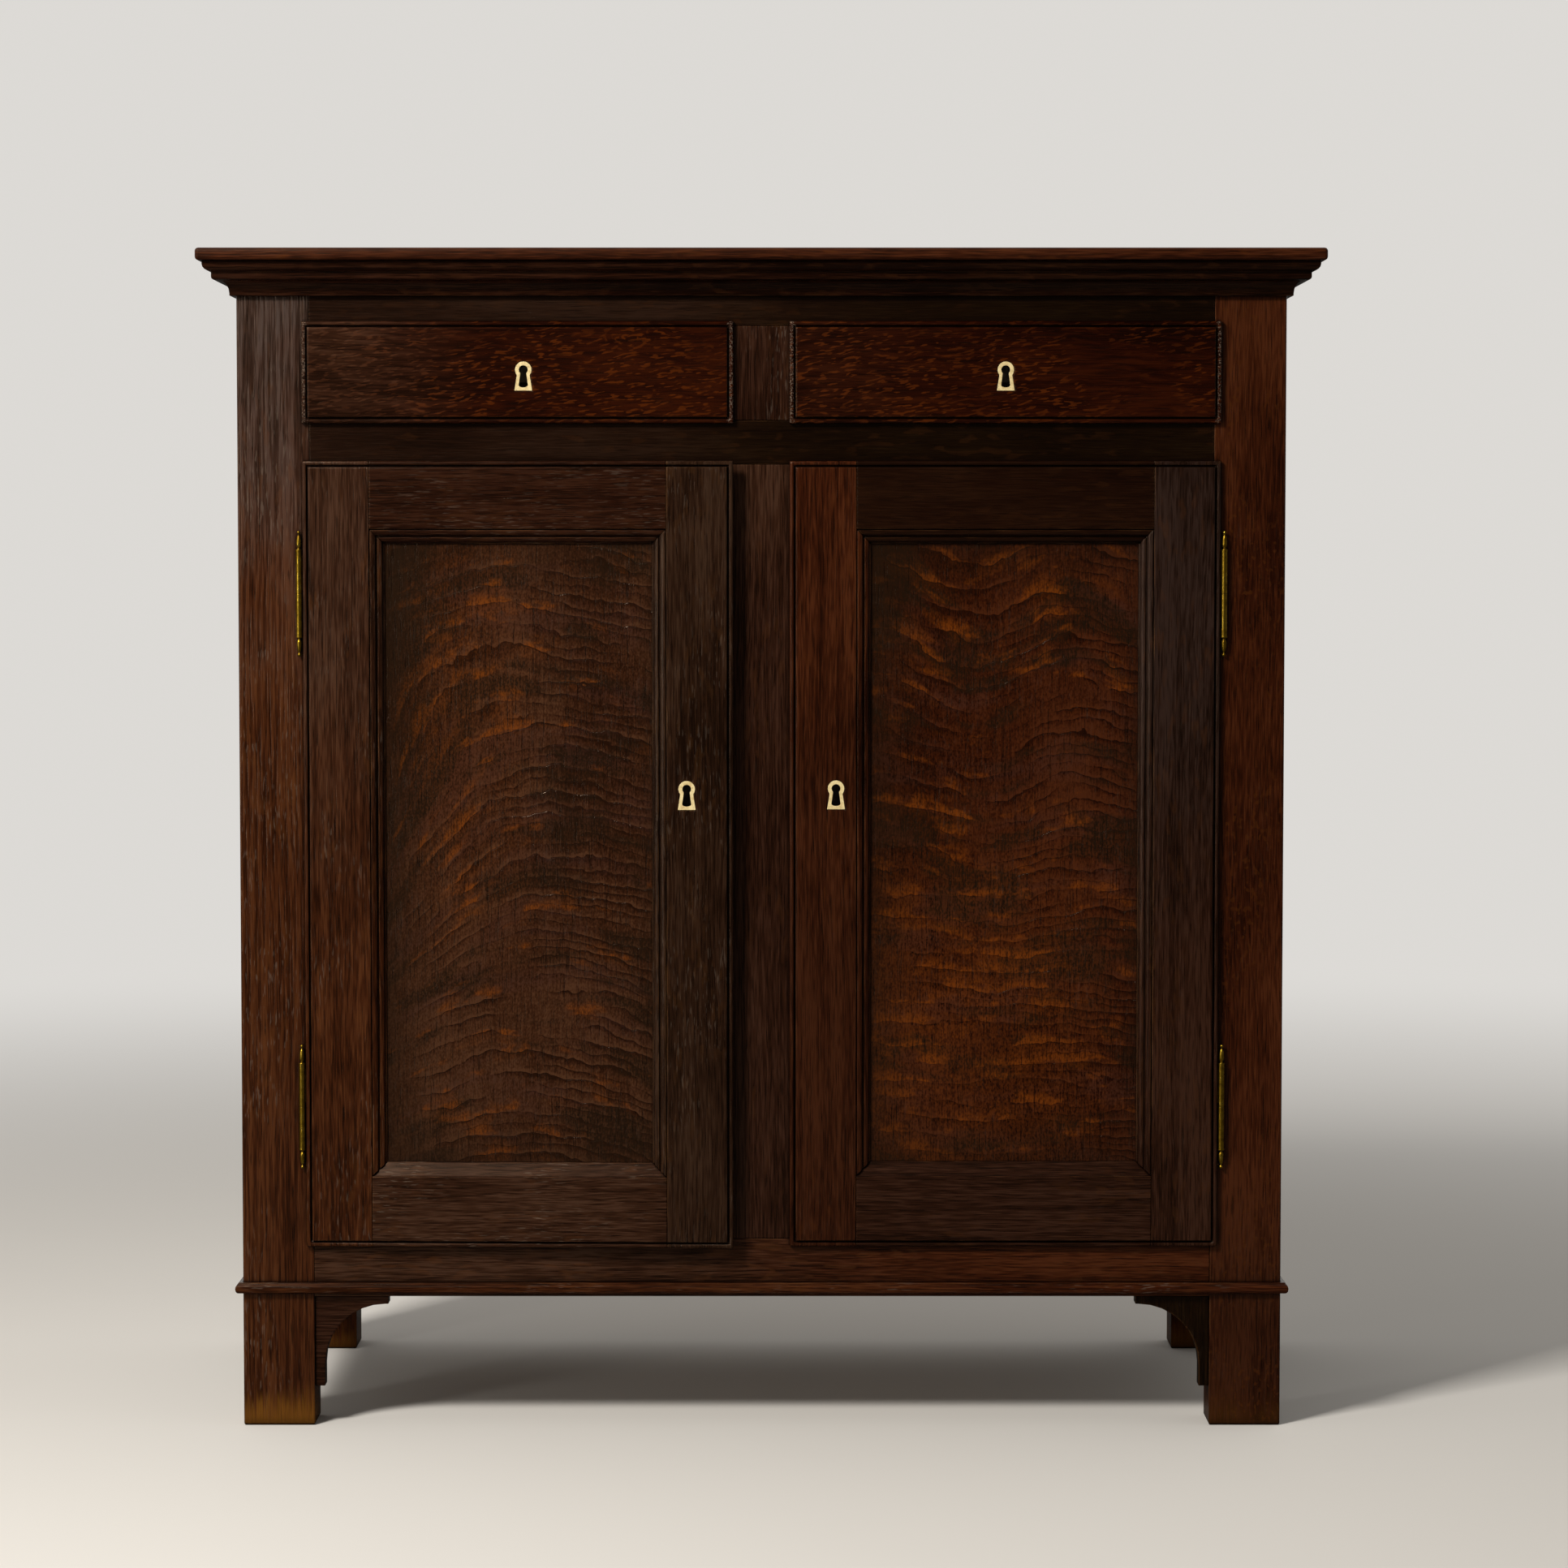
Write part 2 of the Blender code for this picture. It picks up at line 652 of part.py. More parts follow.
def cornice_outline():
    """Section of the cornice: projection from the body, and height."""
    top = TOP_LOW - FIT
    ovolo_low = top - OVOLO_HEIGHT
    band_low = ovolo_low - BAND_HEIGHT
    cove_low = band_low - COVE_HEIGHT
    foot = cove_low - CORNICE_FOOT_HEIGHT
    ovolo_radii = (OVOLO_PROJECTION - BAND_PROJECTION, OVOLO_HEIGHT - OVOLO_FILLET)
    ovolo = arc((BAND_PROJECTION, top - OVOLO_FILLET), ovolo_radii, -90, 0, CORNICE_STEPS)
    band_centre = (BAND_PROJECTION - BAND_ROUND, band_low + BAND_ROUND)
    band = arc(band_centre, (BAND_ROUND, BAND_ROUND), -90, 0, CORNICE_STEPS)
    cove_radii = (COVE_PROJECTION - COVE_FOOT, COVE_HEIGHT)
    cove = arc((COVE_PROJECTION, cove_low), cove_radii, 180, 90, CORNICE_STEPS)
    return (
        [(FIT, top), (FIT, foot), (COVE_FOOT, foot)]
        + cove + band + ovolo + [(OVOLO_PROJECTION, top)]
    )


def base_outline():
    """Section of the base moulding: a half round under a fillet."""
    low = LEG_HEIGHT + BASE_RISE
    high = low + BASE_HEIGHT
    radius = (BASE_HEIGHT - BASE_FILLET_HEIGHT) / 2
    radii = (BASE_PROJECTION - BASE_FILLET_PROJECTION, radius)
    bead = arc((BASE_FILLET_PROJECTION, low + radius), radii, -90, 90, BASE_STEPS)
    return [(FIT, high), (FIT, low)] + bead + [(BASE_FILLET_PROJECTION, high)]


def make_bracket(hand, side):
    """A shaped bracket between the bottom rail and a front leg."""
    top, wall = LEG_HEIGHT - FIT, POST_EDGE - FIT
    curve_centre = (BRACKET_TAIL + BRACKET_CURVE, BRACKET_TIP + BRACKET_CURVE)
    hollow = arc(curve_centre, (BRACKET_CURVE, BRACKET_CURVE), 180, 270, BRACKET_STEPS)
    shape = [(0.0, 0.0), (0.0, BRACKET_HEIGHT), (BRACKET_TAIL, BRACKET_HEIGHT)]
    shape += hollow + [(BRACKET_LENGTH, BRACKET_TIP), (BRACKET_LENGTH, 0.0)]
    outline = [(side * (wall - out), top - down) for out, down in shape]
    start = FRONT + BRACKET_SETBACK
    return prism(f"{hand}_bracket", "y", [outline], start, start + BRACKET_THICKNESS, "dark_oak")


def make_top():
    """The top, with its edges rounded over."""
    reach = HALF + TOP_OVERHANG
    top = box(
        "top_board",
        (-reach, FRONT - TOP_OVERHANG, TOP_LOW), (reach, BACK, TOP_LOW + TOP_THICKNESS), "red_oak",
    )
    soften(top, TOP_ROUND, TOP_STEPS, lambda middle: middle.y < BACK - FIT)
    return top


# Edges and keyholes that doors and drawers share

def edge_bead_outline():
    """What is cut away round a lip: s runs inward from the edge, and t back from the face."""
    spring = BEAD_DROP + BEAD_RISE
    quirk_end = BEAD_WIDTH + QUIRK_WIDTH
    bead = arc((BEAD_WIDTH / 2, spring), (BEAD_WIDTH / 2, BEAD_RISE), 180, 360, BEAD_STEPS)
    arris = arc((quirk_end + ARRIS, ARRIS), (ARRIS, ARRIS), 180, 270, ARRIS_STEPS)
    outside = [(quirk_end + ARRIS, -MARGIN), (-MARGIN, -MARGIN), (-MARGIN, spring)]
    return bead + [(quirk_end, spring)] + arris + outside


def edge_bead_cutter(name, left, right, low, high, empty):
    """A ring that cuts the bead round a lip."""
    back = Vector((0.0, 1.0, 0.0))
    corners = ((left, low, 1, 1), (right, low, -1, 1), (right, high, -1, -1), (left, high, 1, -1))
    stations = [
        (Vector((x, FACE, z)), Vector((inward_x, 0.0, inward_z)), back)
        for x, z, inward_x, inward_z in corners
    ]
    return sweep(name, edge_bead_outline(), stations, empty=empty, closed=True)


def plate_outline(centre, extra):
    """Outline of a keyhole plate about the middle of its round head."""
    head = PLATE_HEAD + extra
    turn = math.degrees(math.acos((head - PLATE_WAIST_IN) / head))
    base_z = centre[1] + PLATE_HEAD - PLATE_HEIGHT - extra
    top = arc(centre, (head, head), -turn, 180 + turn, PLATE_STEPS)
    base = PLATE_BASE + extra
    return top + [(centre[0] - base, base_z), (centre[0] + base, base_z)]


def keyhole_outline(centre):
    """Outline of a keyhole about the middle of its round head."""
    turn = math.degrees(math.acos((KEYHOLE_HEAD - KEYHOLE_WAIST_IN) / KEYHOLE_HEAD))
    head = arc(centre, (KEYHOLE_HEAD, KEYHOLE_HEAD), -turn, 180 + turn, KEYHOLE_STEPS)
    foot = (centre[0], centre[1] - KEYHOLE_LEG)
    return head + arc(foot, (KEYHOLE_BASE, KEYHOLE_ROUND), 180, 360, KEYHOLE_STEPS // 2)


def make_plate(prefix, owner, centre, empty):
    """An inlaid keyhole plate, and its recess in the owner."""
    outlines = [plate_outline(centre, 0.0), keyhole_outline(centre)]
    plate = prism(f"{prefix}_escutcheon", "y", outlines, FACE, FACE + PLATE_DEPTH, "bone", empty)
    recess = [plate_outline(centre, FIT)]
    cut(owner, prism(
        f"{prefix}_plate_recess", "y", recess, FACE - MARGIN, FACE + PLATE_DEPTH + FIT, empty=empty
    ))
    return plate


def lock_box(lock, start, end, side_low, side_high, front_y, back_y):
    """Corners of a block of the lock, from distances along and across its bolt."""
    ends = [
        lock.key + lock.toward * along + lock.across * aside
        for along, aside in ((start, side_low), (end, side_high))
    ]
    low = Vector((min(ends[0].x, ends[1].x), front_y, min(ends[0].z, ends[1].z)))
    high = Vector((max(ends[0].x, ends[1].x), back_y, max(ends[0].z, ends[1].z)))
    return low, high


def make_lock(prefix, lock):
    """A cut lock let into the back of its owner: a case, and a bolt that slides in it."""
    front_y = lock.back - LOCK_THICKNESS
    tip = lock.edge - FIT
    case_low, case_high = lock_box(
        lock, -LOCK_TAIL, tip, -LOCK_HALF_WIDTH, LOCK_HALF_WIDTH, front_y, lock.back,
    )
    case = box(f"{prefix}_lock_case", case_low, case_high, "lock_iron", lock.empty)
    pocket_low, pocket_high = lock_box(
        lock, -LOCK_TAIL - FIT, lock.edge + MARGIN,
        -LOCK_HALF_WIDTH - FIT, LOCK_HALF_WIDTH + FIT, front_y - FIT, lock.back + MARGIN,
    )
    cut(lock.owner, box(f"{prefix}_lock_pocket", pocket_low, pocket_high, empty=lock.empty))
    middle = (front_y + lock.back) / 2
    bolt_sides = (BOLT_SHIFT - BOLT_WIDTH / 2, BOLT_SHIFT + BOLT_WIDTH / 2)
    bolt_depth = (middle - BOLT_THICKNESS / 2, middle + BOLT_THICKNESS / 2)
    slide = new_empty(f"{prefix}_bolt_slide", (lock.key.x, middle, lock.key.z), lock.empty)
    bolt_low, bolt_high = lock_box(lock, tip - BOLT_LENGTH, tip, *bolt_sides, *bolt_depth)
    box(f"{prefix}_lock_bolt", bolt_low, bolt_high, "lock_iron", slide)
    tunnel_low, tunnel_high = lock_box(lock, tip - BOLT_LENGTH, lock.edge + MARGIN, *bolt_sides, *bolt_depth)
    cut(case, box(f"{prefix}_bolt_tunnel", *grow(tunnel_low, tunnel_high, FIT), empty=lock.empty))
    keyhole = [keyhole_outline((lock.key.x, lock.key.z))]
    cut(lock.owner, prism(
        f"{prefix}_keyhole", "y", keyhole, FACE - MARGIN, front_y + FIT, empty=lock.empty
    ))


def bolt_mortise(name, lock, swing):
    """Cutter for the hole that a thrown bolt enters; swing lengthens it for a door that stands ajar."""
    middle = lock.back - LOCK_THICKNESS / 2
    low, high = lock_box(
        lock, lock.edge - MARGIN, lock.edge + BOLT_THROW + MORTISE_PLAY,
        BOLT_SHIFT - BOLT_WIDTH / 2 - MORTISE_PLAY, BOLT_SHIFT + BOLT_WIDTH / 2 + MORTISE_PLAY,
        middle - BOLT_THICKNESS / 2 - MORTISE_PLAY - swing, middle + BOLT_THICKNESS / 2 + MORTISE_PLAY,
    )
    return box(name, low, high)


# Doors

def inner_moulding():
    """Moulding on the stiles and top rail: distance in from the flat, and depth below it."""
    ovolo_radii = (MOULD_OVOLO_WIDTH, MOULD_OVOLO_DROP - MOULD_OVOLO_START)
    ovolo = arc((MOULD_QUIRK_WIDTH, MOULD_OVOLO_DROP), ovolo_radii, 270, 360, MOULD_OVOLO_STEPS)
    groove_start = MOULD_QUIRK_WIDTH + MOULD_OVOLO_WIDTH
    groove_end = groove_start + MOULD_GROOVE
    groove_bottom = MOULD_OVOLO_DROP + MOULD_STEP
    bead = arc(
        (groove_end, MOULD_BEAD_FOOT), (MOULD_BEAD_WIDTH, MOULD_BEAD_DROP), 270, 360, MOULD_OVOLO_STEPS
    )
    return (
        [(0.0, 0.0), (0.0, MOULD_QUIRK_DEPTH), (MOULD_QUIRK_WIDTH, MOULD_QUIRK_DEPTH)]
        + ovolo + [(groove_start, groove_bottom), (groove_end, groove_bottom)]
        + bead + [(groove_end + MOULD_BEAD_WIDTH, MOULD_DROP), (MOULD_WIDTH, MOULD_DROP)]
    )


def bottom_splay():
    """Plain slope on the bottom rail, below a small step."""
    return [(0.0, 0.0), (0.0, SPLAY_STEP), (SPLAY_WIDTH, MOULD_DROP)]


def member_section(flat, moulding, rebate):
    """Section of a door frame member: s runs inward from the lip's edge, and t back from the face."""
    inner = flat + moulding[-1][0]
    groove = inner - GROOVE_DEPTH
    groove_front, groove_back = PANEL_SINK - FIT, PANEL_SINK + PANEL_THICKNESS + FIT
    thickness = LIP_THICKNESS + DOOR_BODY
    return (
        [(0.0, 0.0)] + [(flat + s, t) for s, t in moulding]
        + [(inner, groove_front), (groove, groove_front), (groove, groove_back), (inner, groove_back)]
        + [(inner, thickness), (rebate, thickness)]
        + [(rebate, LIP_THICKNESS - FIT), (0.0, LIP_THICKNESS - FIT)]
    )


def mitre_cutters(door, from_hinge, at_top):
    """Cutters for one corner of the inner moulding, for the stile and for the rail."""
    side = door.inward if from_hinge else -door.inward
    edge = door.hinge_x if from_hinge else door.free_x
    down = -1 if at_top else 1
    rail_edge = door.high if at_top else door.low
    rail_flat, rail_mould = (TOP_RAIL_FLAT, MOULD_WIDTH) if at_top else (BOTTOM_RAIL_FLAT, SPLAY_WIDTH)
    flat_x, inner_x = edge + side * STILE_FLAT, edge + side * (STILE_FLAT + MOULD_WIDTH)
    flat_z, inner_z = rail_edge + down * rail_flat, rail_edge + down * (rail_flat + rail_mould)
    slope = rail_mould / MOULD_WIDTH
    beyond_z = rail_edge - down * MARGIN
    stile_shape = [
        (flat_x, flat_z + down * FIT / 2),
        (inner_x + side * MARGIN, inner_z + down * (FIT / 2 + MARGIN * slope)),
        (inner_x + side * MARGIN, beyond_z),
        (flat_x, beyond_z),
    ]
    start_x = flat_x + side * FIT
    rail_shape = [
        (start_x, flat_z),
        (inner_x + side * FIT, inner_z),
        (inner_x + side * FIT, inner_z + down * MARGIN),
        (start_x - side * MARGIN, inner_z + down * MARGIN),
        (start_x - side * MARGIN, flat_z),
    ]
    corner = f"{door.name}_{'hinge' if from_hinge else 'lock'}_{'top' if at_top else 'bottom'}"
    ends = (FACE - MARGIN, DOOR_BACK + MARGIN)
    return (
        prism(corner + "_stile_mitre", "y", [stile_shape], *ends, empty=door.empty),
        prism(corner + "_rail_mitre", "y", [rail_shape], *ends, empty=door.empty),
    )


def make_stile(door, kind):
    """A door stile, full height, with its ends rebated behind the lip."""
    edge, side = (door.hinge_x, door.inward) if kind == "hinge" else (door.free_x, -door.inward)
    section = member_section(STILE_FLAT, inner_moulding(), LIP_SIDE + DOOR_PLAY)
    outline = [(edge + side * s, FACE + t) for s, t in section]
    stile = prism(f"{door.name}_{kind}_stile", "z", [outline], door.low, door.high, "red_oak", door.empty)
    across = sorted((edge - side * MARGIN, edge + side * (STILE_FLAT + MOULD_WIDTH + MARGIN)))
    ends = (
        ("top", door.high - DOOR_LIP_TOP - DOOR_PLAY, door.high + MARGIN),
        ("bottom", door.low - MARGIN, door.low + DOOR_LIP_BOTTOM + DOOR_PLAY),
    )
    for name, low, high in ends:
        cut(stile, box(
            f"{stile.name}_{name}_rebate",
            (across[0], FRONT - FIT, low), (across[1], DOOR_BACK + MARGIN, high), empty=door.empty,
        ))
    return stile


def make_door_rail(door, at_top):
    """A door rail between the flats of the stiles."""
    if at_top:
        section = member_section(TOP_RAIL_FLAT, inner_moulding(), DOOR_LIP_TOP + DOOR_PLAY)
        outline = [(FACE + t, door.high - s) for s, t in section]
    else:
        section = member_section(BOTTOM_RAIL_FLAT, bottom_splay(), DOOR_LIP_BOTTOM + DOOR_PLAY)
        outline = [(FACE + t, door.low + s) for s, t in section]
    reach = STILE_FLAT + FIT
    ends = sorted((door.hinge_x + door.inward * reach, door.free_x - door.inward * reach))
    name = f"{door.name}_{'top' if at_top else 'bottom'}_rail"
    return prism(name, "x", [outline], *ends, "dark_oak", door.empty)


def tenon_door_rail(door, rail, stiles, at_top):
    """Tenons at both ends of a door rail, in line with the panel's groove."""
    if at_top:
        low = door.high - TOP_RAIL_FLAT + TENON_SHOULDER
        high = door.high - DOOR_LIP_TOP - DOOR_PLAY - TENON_SHOULDER
    else:
        low = door.low + DOOR_LIP_BOTTOM + DOOR_PLAY + TENON_SHOULDER
        high = door.low + BOTTOM_RAIL_FLAT - TENON_SHOULDER
    front_y = FACE + PANEL_SINK
    for kind, edge, side in (("hinge", door.hinge_x, door.inward), ("lock", door.free_x, -door.inward)):
        shoulder = edge + side * STILE_FLAT
        ends = sorted((shoulder + side * TENON_ROOT, shoulder - side * DOOR_TENON))
        tenon(
            rail, stiles[kind],
            (ends[0], front_y, low), (ends[1], front_y + PANEL_THICKNESS, high), door.empty,
        )


def make_panel(door):
    """The flat panel, held in the frame's groove."""
    entry = GROOVE_DEPTH - FIT
    in_from_side = STILE_FLAT + MOULD_WIDTH - entry
    edges = sorted((door.hinge_x + door.inward * in_from_side, door.free_x - door.inward * in_from_side))
    low = door.low + BOTTOM_RAIL_FLAT + SPLAY_WIDTH - entry
    high = door.high - TOP_RAIL_FLAT - MOULD_WIDTH + entry
    front_y = FACE + PANEL_SINK
    return box(
        f"{door.name}_panel",
        (edges[0], front_y, low), (edges[1], front_y + PANEL_THICKNESS, high), "figured_oak", door.empty,
    )


def finial(base, direction):
    """Turned end of a hinge, from the knuckle outwards: radius and height."""
    ring_high = FINIAL_SLOPE + FINIAL_RING_LENGTH
    groove_low = ring_high + FINIAL_SLOPE
    widest = groove_low + FINIAL_GROOVE_LENGTH + FINIAL_SWELL
    ball_centre = FINIAL_LENGTH - FINIAL_BALL
    ball_start = -math.degrees(math.acos(FINIAL_NECK / FINIAL_BALL))
    ball = arc((0.0, ball_centre), (FINIAL_BALL, FINIAL_BALL), ball_start, 90, FINIAL_STEPS)
    neck_low = ball[0][1] - FINIAL_NECK_LENGTH
    swell = (FINIAL_VASE - FINIAL_GROOVE, FINIAL_SWELL)
    taper = (FINIAL_VASE - FINIAL_NECK, neck_low - widest)
    shape = [(FINIAL_RING, FINIAL_SLOPE), (FINIAL_RING, ring_high), (FINIAL_GROOVE, groove_low)]
    shape += arc((FINIAL_GROOVE, widest), swell, -90, 0, FINIAL_STEPS)
    shape += arc((FINIAL_NECK, widest), taper, 0, 90, FINIAL_STEPS)[1:]
    shape += ball
    shape[-1] = (0.0, FINIAL_LENGTH)
    return [(radius, base + direction * height) for radius, height in shape]


def make_hinge(door, place_name, middle_z, stile, post):
    """A pin hinge: the upper knuckle goes with the door, the lower one and its pin with the post."""
    x = door.hinge_x - door.inward * HINGE_OFFSET
    axis = (x, HINGE_Y, middle_z)
    bore = PIN_RADIUS + FIT
    wall = (bore + KNUCKLE_RADIUS) / 2
    hand = door.name.split("_")[0]
    upper_profile = list(reversed(finial(KNUCKLE_LENGTH, 1))) + [
        (KNUCKLE_RADIUS, KNUCKLE_LENGTH), (KNUCKLE_RADIUS, FIT / 2),
        (bore, FIT / 2), (bore, PIN_LENGTH + FIT), (0.0, PIN_LENGTH + FIT),
    ]
    lower_profile = [
        (0.0, PIN_LENGTH), (PIN_RADIUS, PIN_LENGTH), (PIN_RADIUS, -FIT / 2),
        (KNUCKLE_RADIUS, -FIT / 2), (KNUCKLE_RADIUS, -KNUCKLE_LENGTH),
    ] + finial(-KNUCKLE_LENGTH, -1)
    door_leaf = turned(f"{door.name}_{place_name}_hinge_leaf", upper_profile, axis, "brass", door.empty)
    post_leaf = turned(f"{hand}_{place_name}_hinge_post_leaf", lower_profile, axis, "brass")
    half = LEAF_THICKNESS / 2
    root = (3 * bore + KNUCKLE_RADIUS) / 4
    leaf_y = HINGE_Y + LEAF_SETBACK
    reach = sorted((x + door.inward * root, door.hinge_x + door.inward * LEAF_DEPTH))
    tenon(
        door_leaf, stile,
        (reach[0], leaf_y - half, middle_z + LEAF_INSET),
        (reach[1], leaf_y + half, middle_z + KNUCKLE_LENGTH - LEAF_INSET), door.empty,
    )
    tenon(
        post_leaf, post,
        (x - half, HINGE_Y + wall, middle_z - KNUCKLE_LENGTH + LEAF_INSET),
        (x + half, FRONT + LEAF_DEPTH, middle_z - LEAF_INSET),
    )
    for leaf in (door_leaf, post_leaf):
        shade_round(leaf)


def make_door(hand, side, post, centre_stile, ajar):
    """One door with its hinges, keyhole plate and lock."""
    inward = -side
    hinge_x = side * (POST_EDGE + LIP_SIDE)
    free_x = side * (STILE_EDGE - LIP_SIDE)
    name = hand + "_door"
    empty = new_empty(name + "_hinge_axis", (hinge_x - inward * HINGE_OFFSET, HINGE_Y, DOOR_LOW))
    door = Door(name, inward, hinge_x, free_x, DOOR_LOW - DOOR_LIP_BOTTOM, DOOR_HIGH + DOOR_LIP_TOP, empty)
    stiles = {kind: make_stile(door, kind) for kind in ("hinge", "lock")}
    rails = {at_top: make_door_rail(door, at_top) for at_top in (True, False)}
    for at_top, rail in rails.items():
        for kind, stile in stiles.items():
            stile_mitre, rail_mitre = mitre_cutters(door, kind == "hinge", at_top)
            cut(stile, stile_mitre)
            cut(rail, rail_mitre)
        tenon_door_rail(door, rail, stiles, at_top)
    edges = sorted((hinge_x, free_x))
    bead = edge_bead_cutter(name + "_edge_bead", *edges, door.low, door.high, empty)
    for member in (*stiles.values(), *rails.values()):
        cut(member, bead)
    make_panel(door)
    for place_name, z in (("upper", door.high - HINGE_FROM_TOP), ("lower", door.low + HINGE_FROM_BOTTOM)):
        make_hinge(door, place_name, z, stiles["hinge"], post)
    plate_x = free_x - inward * DOOR_PLATE_INSET
    head_z = door.low + DOOR_PLATE_RISE + PLATE_TO_HEAD
    make_plate(name, stiles["lock"], (plate_x, head_z), empty)
    lock = Lock(
        stiles["lock"], Vector((plate_x, FACE, head_z)), Vector((inward, 0.0, 0.0)), Vector((0.0, 0.0, 1.0)),
        DOOR_BACK, DOOR_PLATE_INSET - LIP_SIDE - DOOR_PLAY, empty,
    )
    make_lock(name, lock)
    swing = abs(free_x - empty.location.x) * math.sin(math.radians(ajar))
    reach = lock._replace(edge=lock.edge + DOOR_PLAY)
    cut(centre_stile, bolt_mortise(name + "_bolt_mortise", reach, swing))
    empty.rotation_euler.z = -inward * math.radians(ajar)


# Drawers

def make_drawer_front(drawer):
    """A drawer front: a beaded lip on a thinner body that fits the opening."""
    lip_left, lip_right = drawer.left - LIP_SIDE, drawer.right + LIP_SIDE
    lip_low, lip_high = drawer.low - DRAWER_LIP_BOTTOM, drawer.high + DRAWER_LIP_TOP
    front = box(
        drawer.name + "_front",
        (lip_left, FACE, lip_low), (lip_right, FRONT - FIT, lip_high), "figured_oak", drawer.empty,
    )
    join(front, box(
        drawer.name + "_front_body",
        (drawer.left + DRAWER_PLAY, FRONT - LIP_THICKNESS / 2, drawer.low + FIT),
        (drawer.right - DRAWER_PLAY, DRAWER_FRONT_BACK, drawer.high - DRAWER_PLAY), empty=drawer.empty,
    ))
    cut(front, edge_bead_cutter(
        drawer.name + "_edge_bead", lip_left, lip_right, lip_low, lip_high, drawer.empty
    ))
    return front


def dovetail(base_y, middle_z, extra):
    """One tail of a drawer side, seen from the end of the drawer."""
    neck, tip = TAIL_NECK / 2 + extra, TAIL_WIDTH / 2 + extra
    root_y, tip_y = base_y + TENON_ROOT, base_y - TAIL_LENGTH - extra
    root = neck - (tip - neck) * TENON_ROOT / TAIL_LENGTH
    return [
        (root_y, middle_z - root), (root_y, middle_z + root),
        (tip_y, middle_z + tip), (tip_y, middle_z - tip),
    ]


def make_drawer_side(drawer, hand, front):
    """A drawer side, dovetailed into the front and grooved for the bottom and back."""
    outer = drawer.left + DRAWER_PLAY if hand == "left" else drawer.right - DRAWER_PLAY
    inward = 1 if hand == "left" else -1
    edges = sorted((outer, outer + inward * DRAWER_SIDE))
    socket_ends = sorted((outer - inward * MARGIN, outer + inward * (DRAWER_SIDE + FIT)))
    low, high = drawer.low + FIT, drawer.high - DRAWER_PLAY - DRAWER_SIDE_DROP
    start = DRAWER_FRONT_BACK + FIT
    side = box(
        f"{drawer.name}_{hand}_side",
        (edges[0], start, low), (edges[1], DRAWER_END, high), "inside_oak", drawer.empty,
    )

    def along_top(middle):
        return middle.z > high - FIT and start < middle.y < DRAWER_END

    soften(side, DRAWER_SIDE_ROUND, EDGE_STEPS, along_top)
    spacing = (high - low) / TAIL_COUNT
    for number in range(TAIL_COUNT):
        middle_z = low + spacing * (number + 0.5)
        name = f"{side.name}_tail_{number + 1}"
        join(side, prism(name, "x", [dovetail(start, middle_z, 0.0)], *edges, empty=drawer.empty))
        cut(front, prism(
            name + "_socket", "x", [dovetail(start, middle_z, FIT)], *socket_ends, empty=drawer.empty
        ))
    return side


def make_drawer_inside(drawer, front, sides):
    """The back and the bottom of a drawer, in grooves of the front and sides."""
    inner_left = drawer.left + DRAWER_PLAY + DRAWER_SIDE
    inner_right = drawer.right - DRAWER_PLAY - DRAWER_SIDE
    left, right = inner_left - DRAWER_GROOVE + FIT, inner_right + DRAWER_GROOVE - FIT
    bottom_low = drawer.low + DRAWER_BOTTOM_HEIGHT
    bottom_high = bottom_low + DRAWER_BOTTOM
    bottom_front = DRAWER_FRONT_BACK - DRAWER_GROOVE + FIT
    back_end = DRAWER_END - DRAWER_BACK_INSET
    top = drawer.high - DRAWER_PLAY - DRAWER_SIDE_DROP - DRAWER_SIDE_ROUND
    back_corners = ((left, back_end - DRAWER_BACK, bottom_high + FIT), (right, back_end, top))
    bottom_corners = ((left, bottom_front, bottom_low), (right, back_end, bottom_high))
    box(drawer.name + "_back", *back_corners, "inside_oak", drawer.empty)
    box(drawer.name + "_bottom", *bottom_corners, "inside_oak", drawer.empty)
    back_groove = box(drawer.name + "_back_groove", *grow(*back_corners, FIT), empty=drawer.empty)
    bottom_groove = box(drawer.name + "_bottom_groove", *grow(*bottom_corners, FIT), empty=drawer.empty)
    for side in sides:
        cut(side, back_groove, bottom_groove)
    cut(front, bottom_groove)


def make_drawer(hand, side, top_rail, plate_shift):
    """One drawer with its keyhole plate and lock."""
    left, right = sorted((side * POST_EDGE, side * STILE_EDGE))
    name = hand + "_drawer"
    middle_x = (left + right) / 2
    empty = new_empty(name + "_slide", (middle_x, FRONT, DRAWER_LOW))
    drawer = Drawer(name, left, right, DRAWER_LOW, DRAWER_HIGH, empty)
    front = make_drawer_front(drawer)
    sides = [make_drawer_side(drawer, side_hand, front) for side_hand in ("left", "right")]
    make_drawer_inside(drawer, front, sides)
    plate_x = middle_x + plate_shift
    head_z = DRAWER_LOW + DRAWER_PLATE_RISE + PLATE_TO_HEAD
    make_plate(name, front, (plate_x, head_z), empty)
    lock = Lock(
        front, Vector((plate_x, FACE, head_z)), Vector((0.0, 0.0, 1.0)), Vector((1.0, 0.0, 0.0)),
        DRAWER_FRONT_BACK, DRAWER_HIGH - DRAWER_PLAY - head_z, empty,
    )
    make_lock(name, lock)
    reach = lock._replace(edge=lock.edge + DRAWER_PLAY)
    cut(top_rail, bolt_mortise(name + "_bolt_mortise", reach, 0.0))


